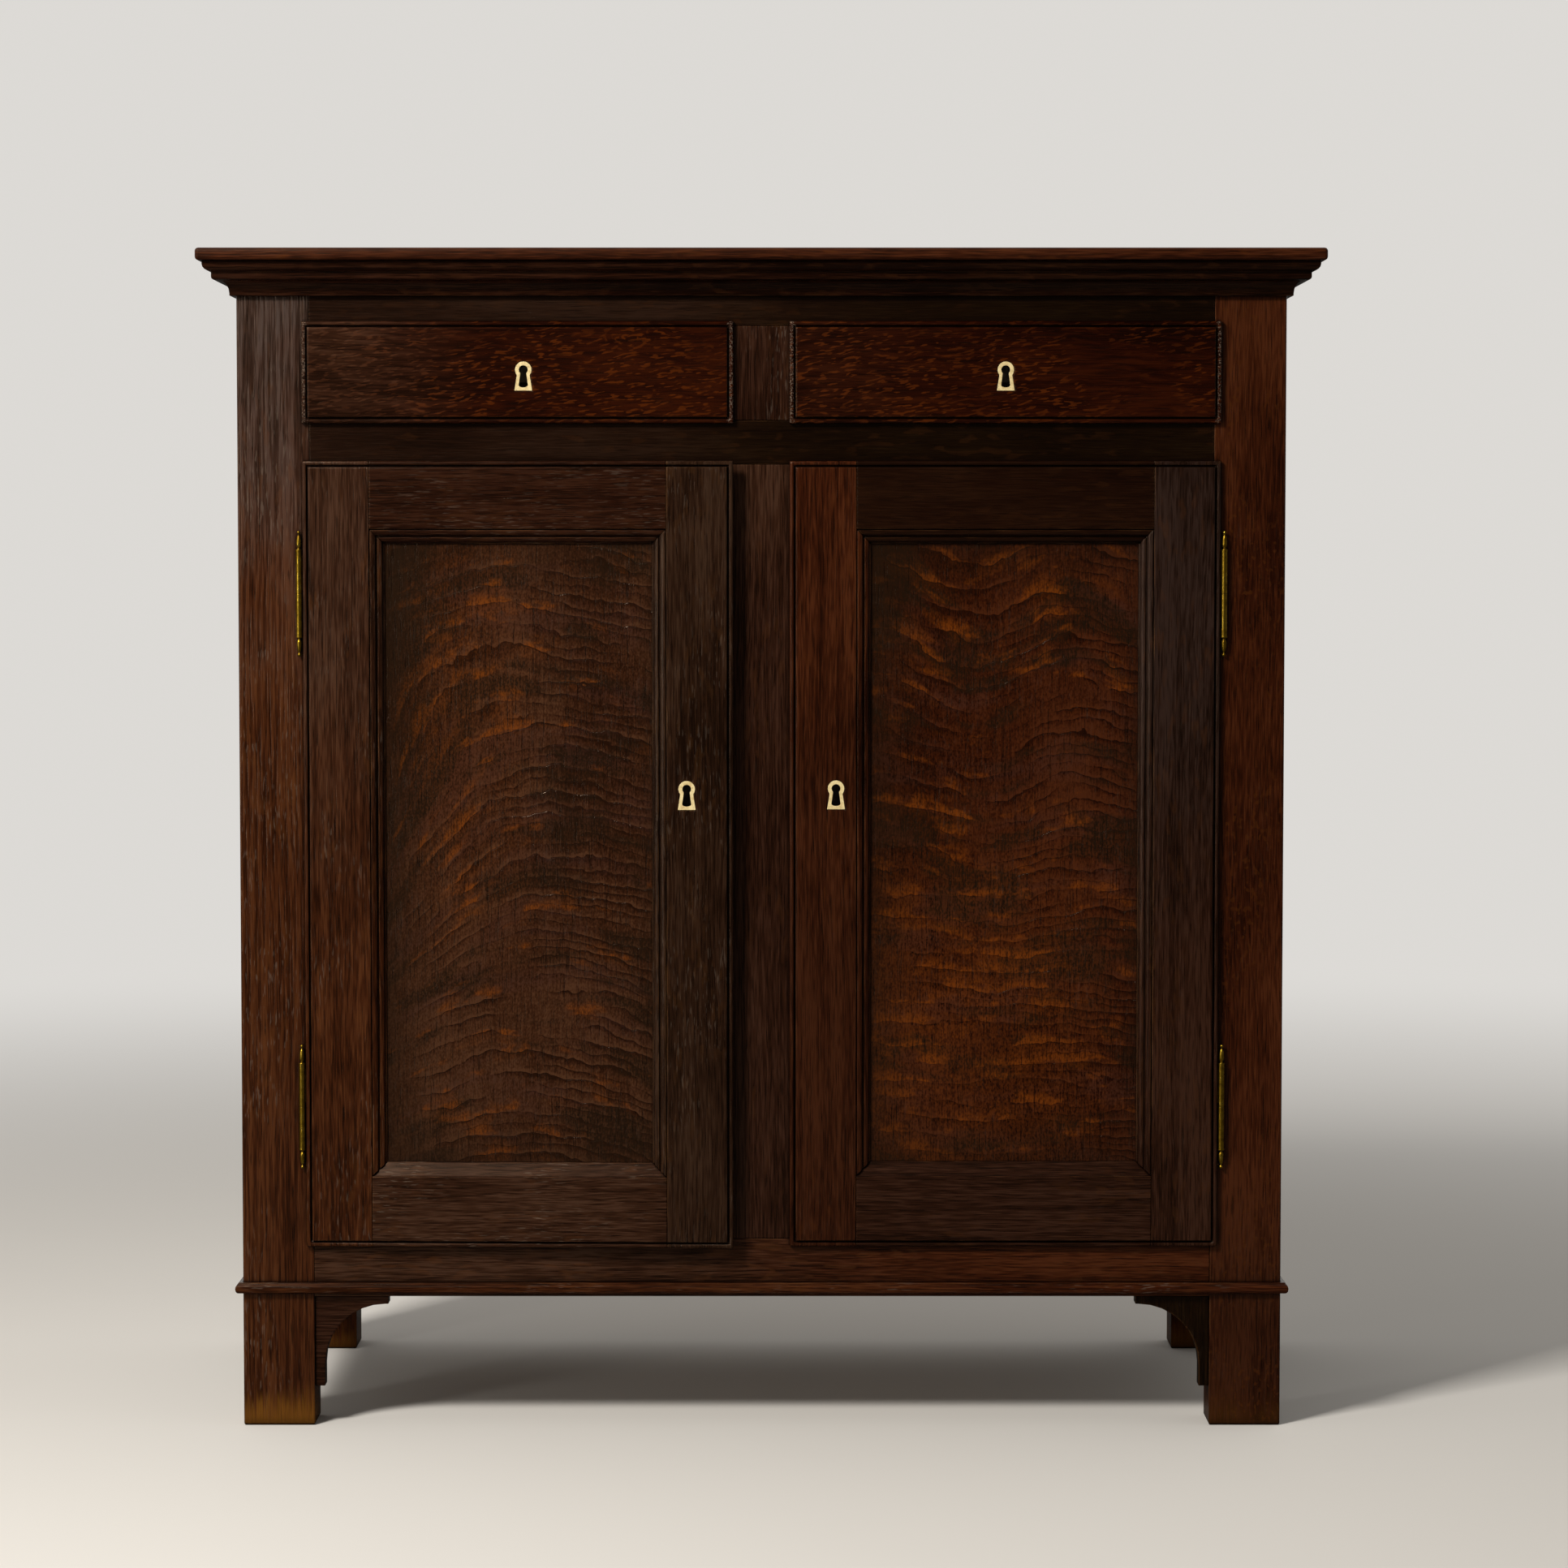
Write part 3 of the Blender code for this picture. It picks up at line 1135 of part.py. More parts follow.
def make_sideboard():
    """The whole object."""
    posts = make_posts()
    top_rail = make_rail("top_rail", DRAWER_HIGH, TOP_LOW - FIT, posts)
    middle_rail = make_rail("middle_rail", DOOR_HIGH, DRAWER_LOW, posts)
    bottom_rail = make_rail("bottom_rail", LEG_HEIGHT, DOOR_LOW, posts)
    make_upright("drawer_stile", DRAWER_LOW, DRAWER_HIGH, middle_rail, top_rail)
    centre_stile = make_upright("centre_stile", DOOR_LOW, DOOR_HIGH, bottom_rail, middle_rail)
    rebate_rail(middle_rail, DRAWER_LOW, DRAWER_LOW)
    rebate_rail(bottom_rail, DOOR_LOW, BOTTOM_TOP)
    boards = (("bottom", BOTTOM_TOP), ("shelf", SHELF_TOP), ("deck", DRAWER_LOW))
    for hand, side in (("left", -1), ("right", 1)):
        make_side(hand, side, posts, boards)
        make_bracket(hand, side)
    make_back(posts)
    make_board("bottom_board", BOTTOM_TOP, BOARD_FRONT + FIT, True)
    make_board("shelf", SHELF_TOP, POST_BACK + SHELF_SETBACK, False)
    deck = make_board("drawer_deck", DRAWER_LOW, BOARD_FRONT + FIT, True)
    add_drawer_guides(deck)
    make_top()
    round_the_body("cornice", cornice_outline(), "red_oak")
    round_the_body("base_moulding", base_outline(), "red_oak")
    make_door("left", -1, posts["front_left"], centre_stile, LEFT_DOOR_AJAR)
    make_door("right", 1, posts["front_right"], centre_stile, 0.0)
    make_drawer("left", -1, top_rail, LEFT_PLATE_SHIFT)
    make_drawer("right", 1, top_rail, 0.0)


make_sideboard()
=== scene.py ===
"""Looks of the oak sideboard: finishes, small fittings, floor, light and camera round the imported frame.

Units are metres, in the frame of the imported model: the front faces -Y and +Z is up. Colours are linear.
"""
import json
import math
from collections import namedtuple

import bmesh
import bpy
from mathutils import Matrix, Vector

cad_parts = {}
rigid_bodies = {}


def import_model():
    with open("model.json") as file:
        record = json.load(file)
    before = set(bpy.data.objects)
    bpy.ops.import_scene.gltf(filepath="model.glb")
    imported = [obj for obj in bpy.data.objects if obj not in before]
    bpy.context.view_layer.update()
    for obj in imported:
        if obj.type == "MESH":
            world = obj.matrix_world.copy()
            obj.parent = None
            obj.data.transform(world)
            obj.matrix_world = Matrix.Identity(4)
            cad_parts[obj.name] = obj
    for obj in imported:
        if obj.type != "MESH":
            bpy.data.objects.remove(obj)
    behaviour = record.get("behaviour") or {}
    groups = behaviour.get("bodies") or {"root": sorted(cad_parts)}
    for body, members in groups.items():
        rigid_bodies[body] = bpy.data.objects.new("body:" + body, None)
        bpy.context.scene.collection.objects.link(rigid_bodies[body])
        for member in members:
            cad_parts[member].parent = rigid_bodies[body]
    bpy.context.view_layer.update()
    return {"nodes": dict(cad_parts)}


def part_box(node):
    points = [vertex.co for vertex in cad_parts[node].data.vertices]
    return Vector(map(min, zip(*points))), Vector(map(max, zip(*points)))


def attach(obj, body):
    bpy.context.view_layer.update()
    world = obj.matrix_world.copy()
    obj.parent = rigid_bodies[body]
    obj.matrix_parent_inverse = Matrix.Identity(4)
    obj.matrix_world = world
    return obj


for thing in list(bpy.data.objects):
    bpy.data.objects.remove(thing, do_unlink=True)
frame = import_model()
NODES = frame["nodes"]

# Camera
CAMERA_PLACE = (0.022, -4.2045, 0.8545)
CAMERA_DOWN = 3.1           # degrees below level
LENS = 93.34                # millimetres
SENSOR = 36.0

# Light
KEY_PLACE = (-1.75, -2.30, 2.75)
KEY_SIZE = (0.70, 0.70)
KEY_POWER = 76.0
KEY_SPREAD = 130.0          # degrees; keeps it off the floor under it
STRIP_PLACE = (-2.10, -2.10, 0.85)
STRIP_SIZE = (0.30, 1.30)
STRIP_POWER = 3.3
STRIP_SPREAD = 90.0         # keeps it off the floor beside it
LAMP_TARGET = (0.0, -0.2, 0.60)
LAMP_COLOUR = (1.0, 0.96, 0.90)
BACKGROUND = (0.72, 0.70, 0.67)
AMBIENT_FRONT = 0.24        # share of the background that lights the front
AMBIENT_BACK = 0.80         # and the back, where the lamps do not reach
DIM_SIDE = 0.08             # brightness of the studio behind the camera, as mirrored in the finish

# Floor
FLOOR_COLOUR = (0.62, 0.60, 0.57)
FLOOR_MIRRORED = (0.10, 0.097, 0.092)   # how the finish mirrors the floor
FLOOR_MOTTLE = (0.45, 0.43, 0.40)
FLOOR_RADIUS = 40.0
FLOOR_DROP = 0.0002
FADE_START = 1.0            # distance from the object at which the floor turns into background
FADE_END = 4.5

# Edges
EDGE_ROUND = 0.0005
EDGE_STEPS = 2
SMOOTH_ANGLE = 38.0         # degrees between faces that shade as one
MERGE = 0.00001
FLAT_ANGLE = 0.5            # degrees between faces that count as one flat
NORMAL_WEIGHT = 90          # how far large faces lead the shading

# Fittings
NAIL_RADIUS = 0.0028
NAIL_RISE = 0.0008
NAIL_SPACING = 0.115
NAIL_INSET = 0.006
HEAD_STEPS = 14
HEAD_RINGS = 4

# Boards of the back
BACK_BOARD = 0.158          # width of one board
BACK_SEAM = 0.0012          # half the width of the dark line between two

# Stains: the middle tone of the wood, and the colour of its ray flecks
Stain = namedtuple("Stain", "mid fleck")
STAINS = {
    # grey is a painted sheen: waxed oak where the lamp's sheen lies on it.
    "grey": Stain((0.024, 0.0145, 0.0108), (0.090, 0.064, 0.048)),
    "tan": Stain((0.030, 0.0074, 0.0019), (0.072, 0.023, 0.005)),
    "brown": Stain((0.0225, 0.0080, 0.0037), (0.068, 0.023, 0.007)),
    "russet": Stain((0.0275, 0.0056, 0.0014), (0.080, 0.020, 0.002)),
    "rust": Stain((0.0185, 0.0041, 0.0012), (0.050, 0.013, 0.002)),
    "dark": Stain((0.016, 0.0050, 0.0023), (0.042, 0.014, 0.004)),
    "walnut": Stain((0.0120, 0.0030, 0.0011), (0.035, 0.011, 0.003)),
    "olive": Stain((0.0143, 0.0055, 0.0025), (0.040, 0.015, 0.004)),
    "dusk": Stain((0.0115, 0.0048, 0.0030), (0.034, 0.014, 0.007)),
    "soot": Stain((0.0085, 0.0029, 0.0013), (0.026, 0.008, 0.002)),
    "sable": Stain((0.0068, 0.0017, 0.0005), (0.026, 0.008, 0.002)),
    "black": Stain((0.0050, 0.0018, 0.0004), (0.018, 0.005, 0.001)),
    "crimson": Stain((0.0110, 0.0013, 0.0001), (0.060, 0.0115, 0.0008)),
    "umber": Stain((0.0270, 0.0084, 0.0031), (0.115, 0.0270, 0.0022)),
    "amber": Stain((0.0235, 0.0045, 0.0011), (0.120, 0.0265, 0.0018)),
    "raw": Stain((0.155, 0.0860, 0.0400), (0.26, 0.160, 0.080)),
}
DARK_SHARE = (0.38, 0.34, 0.30)     # the darkest lines, as a share of the middle tone
LIGHT_SHARE = (1.85, 2.30, 2.70)    # and the lightest
MAUVE = (0.034, 0.0125, 0.0085)
SMOKE = (0.0095, 0.0042, 0.0018)
# Colour of the pores and seams, and also of the painted shade in corners and grooves.
PORE_AND_SHADE_COLOUR = (0.0030, 0.0009, 0.0004)
# Pale flecks in the grain: wax residue, and painted glints where the lamp's sheen would catch the pores.
WAX_GLINT_COLOUR = (0.130, 0.098, 0.074)
WORN_COLOUR = (0.130, 0.056, 0.018)
WORN_FOOT = (0.135, 0.052, 0.006)
SHEEN_TINT = (1.0, 0.74, 0.54)

# Layers of the grain: noise cells to a metre across it and along it, then the noise's detail and roughness
Layer = namedtuple("Layer", "across along detail roughness", defaults=(0.5,))
RINGS = Layer(62.0, 1.3, 3.0)
STREAKS = Layer(360.0, 9.0, 1.0)
COMBING = Layer(800.0, 42.0, 1.0)
PATCHES = Layer(7.0, 3.0, 4.0, 0.6)
BLOTCHES = Layer(16.0, 9.0, 3.0, 0.6)
DASHES = Layer(900.0, 36.0, 1.0)
# The layer of pale wax flecks, which also serve as painted glints.
WAX_GLINT_LAYER = Layer(620.0, 75.0, 1.0)
GRAIN_DRIFT = 0.014         # how far the lines wander to the side

# Finish of the oak
ARRIS_ROUND = 0.0022        # radius to which edges shade as rubbed round
CORNER_REACH = 0.020        # how far the dirt and painted shade spread from a corner
CRANNY_REACH = 0.0045       # and how far dirt and painted shade spread from a groove
GRAIN_DEPTH = 0.0006        # depth of the grain's relief
FOOT_WEAR = 0.040           # height of the worn foot of a leg
PORE_SHARE = 0.6            # how far each colour covers the wood where it lies
DIRT_AND_SHADE_SHARE = 0.9
CRANNY_DIRT_AND_SHADE_SHARE = 0.85
DRY_SHARE = 0.62
RAW = {"dull": 0.65, "wear": 0.2}   # for wood that was never finished
BEHIND = (0.0, 1.0, 0.0)    # way that the unfinished back of a piece faces

# Figure of the door panels
LEFT_PITCHES = (0.019, 0.023)       # distance between a panel's lines at its foot and at its head
RIGHT_PITCHES = (0.017, 0.026)
RIDGE = 0.34                # how far the ridge of a line lightens the wood
SHADOW = 0.40               # and how far its shadow and its crease darken it
CREASE = 0.42
MAUVE_SHARE = 0.45          # how far each colour covers the wood where it lies
SMOKE_SHARE = 0.78
WARM_SHARE = 0.20
FLAME_SHARE = 0.82
CORNER_SHARE = 0.75
SIDE_SHARE = 0.45
BORDER_SHARE = 0.40

# Flakes of the drawer fronts
FLAKES = (92.0, 60.0, 440.0)        # noise cells to a metre along X, Y and Z
LONG_STREAKS = (22.0, 60.0, 230.0)
FLAKE_SLOPE = 60.0          # how steeply the flakes rise to the right
FLAKE_SHARE = 0.72
KNOT = (-0.133, 1.076)      # X and Z of the knot in the left drawer
KNOT_FLATTENED = 1.7        # how much wider than high it is
KNOT_RINGS = 700.0          # radians of its rings to a metre

# Metal and inlay; the tones are places on a ramp and their colours
BRASS_TONES = ((0.30, (0.12, 0.066, 0.006)), (0.52, (0.32, 0.195, 0.016)), (0.75, (0.58, 0.40, 0.060)))
BRASS_DIRT = (0.05, 0.028, 0.008)
BONE_TONES = ((0.30, (0.46, 0.33, 0.140)), (0.55, (0.61, 0.49, 0.245)), (0.8, (0.69, 0.58, 0.33)))
BONE_SPECK = (0.14, 0.075, 0.025)
BONE_DIRT = (0.06, 0.03, 0.01)
IRON_TONES = ((0.35, (0.055, 0.050, 0.046)), (0.58, (0.085, 0.070, 0.058)), (0.78, (0.12, 0.055, 0.025)))
BRASS_REACH = 0.004         # how far dirt spreads from a corner
BONE_REACH = 0.003
FINE_DEPTH = 0.0002         # depth of the relief of brass and bone
IRON_DEPTH = 0.0003         # and of iron


class Wire:
    """One value in a node tree; arithmetic on it adds Math nodes."""

    def __init__(self, shader, socket):
        self.shader = shader
        self.socket = socket

    def __add__(self, other):
        return self.shader.math("ADD", self, other)

    def __sub__(self, other):
        return self.shader.math("SUBTRACT", self, other)

    def __rsub__(self, other):
        return self.shader.math("SUBTRACT", other, self)

    def __mul__(self, other):
        return self.shader.math("MULTIPLY", self, other)

    def __truediv__(self, other):
        return self.shader.math("DIVIDE", self, other)

    __radd__ = __add__


class Shader:
    """A node tree being written: each call adds a node and gives its output."""

    def __init__(self, owner):
        owner.use_nodes = True
        self.tree = owner.node_tree
        self.tree.nodes.clear()

    def node(self, kind, inputs, output=0, **settings):
        made = self.tree.nodes.new(kind)
        for name, value in settings.items():
            setattr(made, name, value)
        for socket, value in inputs.items():
            if isinstance(value, Wire):
                self.tree.links.new(value.socket, made.inputs[socket])
            elif isinstance(value, tuple) and len(made.inputs[socket].default_value) == 4:
                made.inputs[socket].default_value = (*value, 1.0)
            else:
                made.inputs[socket].default_value = value
        return Wire(self, made.outputs[output])

    def math(self, operation, first, second=0.0):
        return self.node("ShaderNodeMath", {0: first, 1: second}, operation=operation)

    def vector(self, x, y, z):
        return self.node("ShaderNodeCombineXYZ", {0: x, 1: y, 2: z})

    def noise(self, vector, scale=1.0, detail=2.0, roughness=0.5):
        inputs = {"Vector": vector, "Scale": scale, "Detail": detail, "Roughness": roughness}
        return self.node("ShaderNodeTexNoise", inputs)

    def step(self, value, low, high):
        """A smooth step from 0 at low to 1 at high."""
        inputs = {"Value": value, "From Min": low, "From Max": high}
        return self.node("ShaderNodeMapRange", inputs, interpolation_type="SMOOTHSTEP")

    def mix(self, amount, first, second):
        return self.node("ShaderNodeMix", {0: amount, 6: first, 7: second}, 2, data_type="RGBA")

    def ramp(self, value, *stops):
        made = self.node("ShaderNodeValToRGB", {0: value})
        elements = made.socket.node.color_ramp.elements
        while len(elements) < len(stops):
            elements.new(0.5)
        for element, (place, colour) in zip(elements, stops):
            element.position = place
            element.color = (*colour, 1.0)
        return made

    def place(self, output="Object"):
        """The three parts of a place or normal in the piece's own frame."""
        whole = self.node("ShaderNodeTexCoord", {}, output)
        return [self.node("ShaderNodeSeparateXYZ", {0: whole}, index) for index in range(3)]

    def ray(self, kind):
        """1 for the rays of one kind, and 0 for the others."""
        return self.node("ShaderNodeLightPath", {}, kind)

    def principled(self, inputs):
        surface = self.node("ShaderNodeBsdfPrincipled", inputs)
        self.node_output("ShaderNodeOutputMaterial", surface)

    def node_output(self, kind, surface):
        made = self.tree.nodes.new(kind)
        self.tree.links.new(surface.socket, made.inputs["Surface"])


# Oak

def grain_axes(shader, grain):
    """The distance along the grain and the two across it."""
    x, y, z = shader.place()
    if grain == "moulding":
        # The ends of a moulding run along Y, and its front along X, up to the mitre.
        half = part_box("front_right_post")[1].x
        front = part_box("front_right_post")[0].y
        beyond = shader.math("ABSOLUTE", x) - half
        end = shader.math("GREATER_THAN", beyond, front - y)
        along = x * (1.0 - end) + y * end
        return along, x * end + y * (1.0 - end), z
    return {"x": (x, y, z), "y": (y, x, z), "z": (z, x, y)}[grain]


class Grain:
    """The lines, pores and patches that all the oak pieces share."""

    def __init__(self, shader, grain, seed):
        along, first, second = grain_axes(shader, grain)
        along = along + seed
        drift = shader.noise(shader.vector(first * 5.0, second * 5.0, along * 1.8)) - 0.5
        first = first + drift * GRAIN_DRIFT
        second = second + drift * GRAIN_DRIFT

        def stretched(across, length, detail, roughness=0.5):
            vector = shader.vector(first * across, second * across, along * length)
            return shader.noise(vector, detail=detail, roughness=roughness)

        self.rings = stretched(*RINGS)
        self.streaks = shader.step(stretched(*STREAKS), 0.42, 0.56)
        self.combing = stretched(*COMBING)
        self.patches = stretched(*PATCHES)
        self.blotches = stretched(*BLOTCHES)
        self.dashes = shader.step(stretched(*DASHES), 0.59, 0.69)
        waxed = shader.step(self.blotches, 0.42, 0.60)
        self.wax = shader.step(stretched(*WAX_GLINT_LAYER), 0.60, 0.70) * waxed
        self.stretched = stretched

    def tone(self, rings=0.7, streaks=0.22, combing=1.3, patches=1.3):
        """How light the wood is, about 0.5, from its layers by their weights."""
        lines = (self.rings - 0.5) * rings + (self.streaks - 0.5) * streaks
        return lines + (self.combing - 0.5) * combing + (self.patches - 0.5) * patches + 0.5


def tone_colour(shader, stain, tone):
    """A stain's colour from dark through middle to light."""
    dark = tuple(part * share for part, share in zip(stain.mid, DARK_SHARE))
    light = tuple(part * share for part, share in zip(stain.mid, LIGHT_SHARE))
    return shader.ramp(tone, (0.15, dark), (0.5, stain.mid), (0.85, light))


def finish_oak(
    shader, grain, colour, height, dull=0.24, shine=0.22, inner=None, wear=0.6, foot=0.0, wax=0.025
):
    """Pores, wax and painted glints in the grain, worn edges, dirt and painted shade in corners and grooves,
    the unfinished back and the shader itself.
    """
    colour = shader.mix(grain.dashes * PORE_SHARE, colour, PORE_AND_SHADE_COLOUR)
    # Painted highlights: pale wax flecks that also stand in for glints of the lamp on the grain.
    colour = shader.mix(grain.wax * wax, colour, WAX_GLINT_COLOUR)
    rounded = shader.node("ShaderNodeBevel", {"Radius": ARRIS_ROUND}, samples=4)
    straight = shader.node("ShaderNodeNewGeometry", {}, "Normal")
    turned = shader.node("ShaderNodeVectorMath", {0: rounded, 1: straight}, "Value", operation="DOT_PRODUCT")
    near = shader.node("ShaderNodeAmbientOcclusion", {"Distance": CORNER_REACH}, "AO", samples=6)
    edge = shader.step(1.0 - turned, 0.02, 0.22) * shader.step(near, 0.55, 0.95)
    rubbed = shader.step(grain.blotches + (grain.combing - 0.5) * 0.8, 0.42, 0.72)
    colour = shader.mix(edge * rubbed * wear, colour, WORN_COLOUR)
    if foot:
        z = shader.place()[2]
        ragged = z + (grain.combing - 0.5) * 0.05 + (grain.blotches - 0.5) * 0.06
        low = shader.step(ragged, FOOT_WEAR, 0.0)
        colour = shader.mix(low * foot, colour, WORN_FOOT)
    if inner is not None:
        normal = shader.node("ShaderNodeTexCoord", {}, "Normal")
        inputs = {0: normal, 1: inner}
        facing = shader.node("ShaderNodeVectorMath", inputs, "Value", operation="DOT_PRODUCT")
        dry = tone_colour(shader, STAINS["raw"], grain.tone(patches=1.0))
        colour = shader.mix(shader.step(facing, 0.5, 0.8) * DRY_SHARE, colour, dry)
    # Painted shade: the wood darkens towards inside corners, for both dirt and the shade that gathers there.
    dirt_and_shade = shader.step(near, 0.86, 0.32)
    colour = shader.mix(dirt_and_shade * DIRT_AND_SHADE_SHARE, colour, PORE_AND_SHADE_COLOUR)
    # Painted shade: dark lines in grooves and gaps, for both dirt and the shade that falls in them.
    cranny_dirt_and_shade = shader.node("ShaderNodeAmbientOcclusion", {"Distance": CRANNY_REACH}, "AO", samples=6)
    colour = shader.mix(shader.step(cranny_dirt_and_shade, 0.82, 0.48) * CRANNY_DIRT_AND_SHADE_SHARE, colour, PORE_AND_SHADE_COLOUR)
    inputs = {"Strength": 1.0, "Distance": GRAIN_DEPTH, "Height": height, "Normal": rounded}
    normal = shader.node("ShaderNodeBump", inputs)
    shader.principled({
        "Base Color": colour,
        "Roughness": (grain.patches - 0.5) * 0.16 + dull,
        "Specular IOR Level": shine,
        "Specular Tint": SHEEN_TINT,
        "Normal": normal,
    })


def plain_oak(
    name, stain, grain_axis, seed, flecks=0.25, fleck_size=(150.0, 46.0), weights=(), relief=1.0,
    turning=None, **finish
):
    """Stained oak with ray flecks; turning is a second stain, an axis, and where on it the change lies."""
    material = bpy.data.materials.new(name)
    shader = Shader(material)
    grain = Grain(shader, grain_axis, seed)
    stain = STAINS[stain]
    tone = grain.tone(*weights)
    colour = tone_colour(shader, stain, tone)
    if turning is not None:
        second_stain, axis, start, end = turning
        place = shader.place()[axis] + (grain.blotches - 0.5) * (end - start)
        second = tone_colour(shader, STAINS[second_stain], tone)
        colour = shader.mix(shader.step(place, start, end), colour, second)
    rays = shader.step(grain.stretched(*fleck_size, 1.0), 0.56, 0.66)
    rays = rays * shader.step(grain.blotches, 0.40, 0.60)
    colour = shader.mix(rays * flecks, colour, stain.fleck)
    height = grain.combing * 0.22 + grain.streaks * 0.05 * relief - grain.dashes * 0.05
    finish_oak(shader, grain, colour, height, **finish)
    return material


# Figured oak of the door panels

def panel_oak(name, node, stain, bend, pitches, glow, seed):
    """Quarter-sawn oak whose figure lies in lines across the panel, each a light ridge over a dark crease."""
    material = bpy.data.materials.new(name)
    shader = Shader(material)
    grain = Grain(shader, "z", seed)
    x, _, z = shader.place()
    low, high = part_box(node)
    middle = (low + high) / 2
    half = (high - low) / 2
    u = (x - middle.x) / half.x
    rise = (z - low.z) / (high.z - low.z)

    def cloud(along, up, number):
        """Patches that lie level."""
        return shader.noise(shader.vector(x * along, seed + number, z * up), roughness=0.55)

    level = z - low.z - bend(shader, u, rise)
    low_pitch, high_pitch = pitches
    # The lines' count per metre runs evenly from the foot of the panel to its head.
    change = (1.0 / high_pitch - 1.0 / low_pitch) / (high.z - low.z) / 2.0
    count = level * (1.0 / low_pitch) + level * level * change
    phase = count + (cloud(7.0, 12.0, 0.0) - 0.5) * 2.6 + (cloud(50.0, 60.0, 1.0) - 0.5) * 0.6
    saw = shader.math("FRACT", phase)
    fine = shader.math("FRACT", phase * 2.0)
    apart = shader.step(u + (cloud(8.0, 14.0, 2.0) - 0.5) * 2.0, -0.25, 0.35)
    begun = shader.step(u + (cloud(6.0, 9.0, 4.0) - 0.5) * 0.9, -0.95, -0.45)
    drawn = shader.step(cloud(14.0, 30.0, 3.0), 0.34, 0.60) * begun
    shadow = shader.step(saw, 0.62, 1.0) * (1.0 - apart * 0.6) + shader.step(fine, 0.55, 1.0) * apart
    crease = shader.step(saw, 0.92, 0.99) + shader.step(fine, 0.86, 0.98) * apart * 0.8
    ridge = shader.step(saw, 0.30, 0.02) * (1.0 - apart * 0.5) + shader.step(fine, 0.35, 0.03) * apart * 0.6
    figure = (ridge * RIDGE - shadow * SHADOW - crease * CREASE) * drawn
    short = shader.noise(shader.vector(x * 760.0, seed, z * 380.0), detail=2.0) - 0.5
    tone = grain.tone(0.3, 0.05, 0.6, 1.2) + short * 1.2 + figure + 0.02
    stain = STAINS[stain]
    colour = tone_colour(shader, stain, tone)

    def flow(along, up, number):
        """Patches that lie along the figure's lines."""
        return shader.noise(shader.vector(x * along, seed + number, level * up), detail=3.0, roughness=0.6)

    hatch = shader.step(short + (grain.combing - 0.5) * 0.6, -0.20, 0.14)
    mauve = shader.step(flow(9.0, 30.0, 5.0), 0.48, 0.66) * hatch
    colour = shader.mix(mauve * MAUVE_SHARE, colour, MAUVE)
    corner = shader.step(u, -0.45, -1.0) * shader.step(rise, 0.70, 0.95)
    smoke = shader.step(flow(9.0, 26.0, 6.0) + corner * 0.40, 0.48, 0.60) * (1.3 - hatch * 0.7)
    colour = shader.mix(smoke * SMOKE_SHARE, colour, SMOKE)
    bright, warm = glow(shader, u, rise)
    colour = shader.mix(warm * hatch * WARM_SHARE, colour, stain.fleck)
    flame = shader.step(flow(22.0, 44.0, 7.0) + bright, 0.53, 0.66) * (hatch * 0.7 + 0.3)
    flame = flame * (shader.step(saw, 0.75, 0.05) * 0.8 + 0.2) * (1.0 - crease)
    colour = shader.mix(flame * FLAME_SHARE, colour, stain.fleck)
    colour = shader.mix(corner * CORNER_SHARE, colour, SMOKE)
    colour = shader.mix(shader.step(u, -0.45, -1.0) * SIDE_SHARE, colour, SMOKE)
    border = shader.math("MAXIMUM", shader.math("ABSOLUTE", u), shader.math("ABSOLUTE", rise * 2.0 - 1.0))
    colour = shader.mix(shader.step(border, 0.78, 1.0) * BORDER_SHARE, colour, SMOKE)
    height = short * 0.25 + figure * 0.6 - grain.dashes * 0.10
    finish_oak(shader, grain, colour, height, inner=BEHIND, wear=0.0, wax=0.04)
    return material


def left_bend(shader, u, rise):
    """Lines that arch over the left panel, steeply down to its hinge side and gently to the other."""
    middle = shader.step(rise, 0.05, 0.45) * shader.step(rise, 0.92, 0.55)
    off = u + 0.10 - middle * 0.26
    steep = shader.math("MINIMUM", off, 0.0)
    gentle = shader.math("MAXIMUM", off, 0.0)
    return steep * steep * (middle * -0.070 - 0.045) - gentle * gentle * 0.024


def right_bend(shader, u, rise):
    """Lines that dip and then swell on the right panel, more so towards its head."""
    return shader.math("SINE", (u - 0.13) * (math.pi / 0.68)) * (shader.step(rise, 0.30, 1.0) * 0.015 + 0.003)


def left_glow(shader, u, rise):
    """How bright and how warm the left panel is: amber lies along the hinge side and at the head."""
    column = shader.step(u, 0.25, -0.15) * shader.step(u, -0.92, -0.50)
    bright = column * 0.08 + shader.step(rise, 0.72, 0.92) * 0.03 - 0.06
    return bright, column * shader.step(rise, 0.25, 0.55) * 0.5


def right_glow(shader, u, rise):
    """How bright and how warm the right panel is: amber lies at the head and over the lower half."""
    away = shader.step(u, 0.3, 1.0)
    lower = shader.step(rise, 0.62, 0.25)
    bright = shader.step(rise, 0.80, 0.95) * 0.06 + lower * 0.05 - away * 0.08
    return bright, (lower * 0.8 + 0.2) * (1.0 - away)


# Drawer fronts

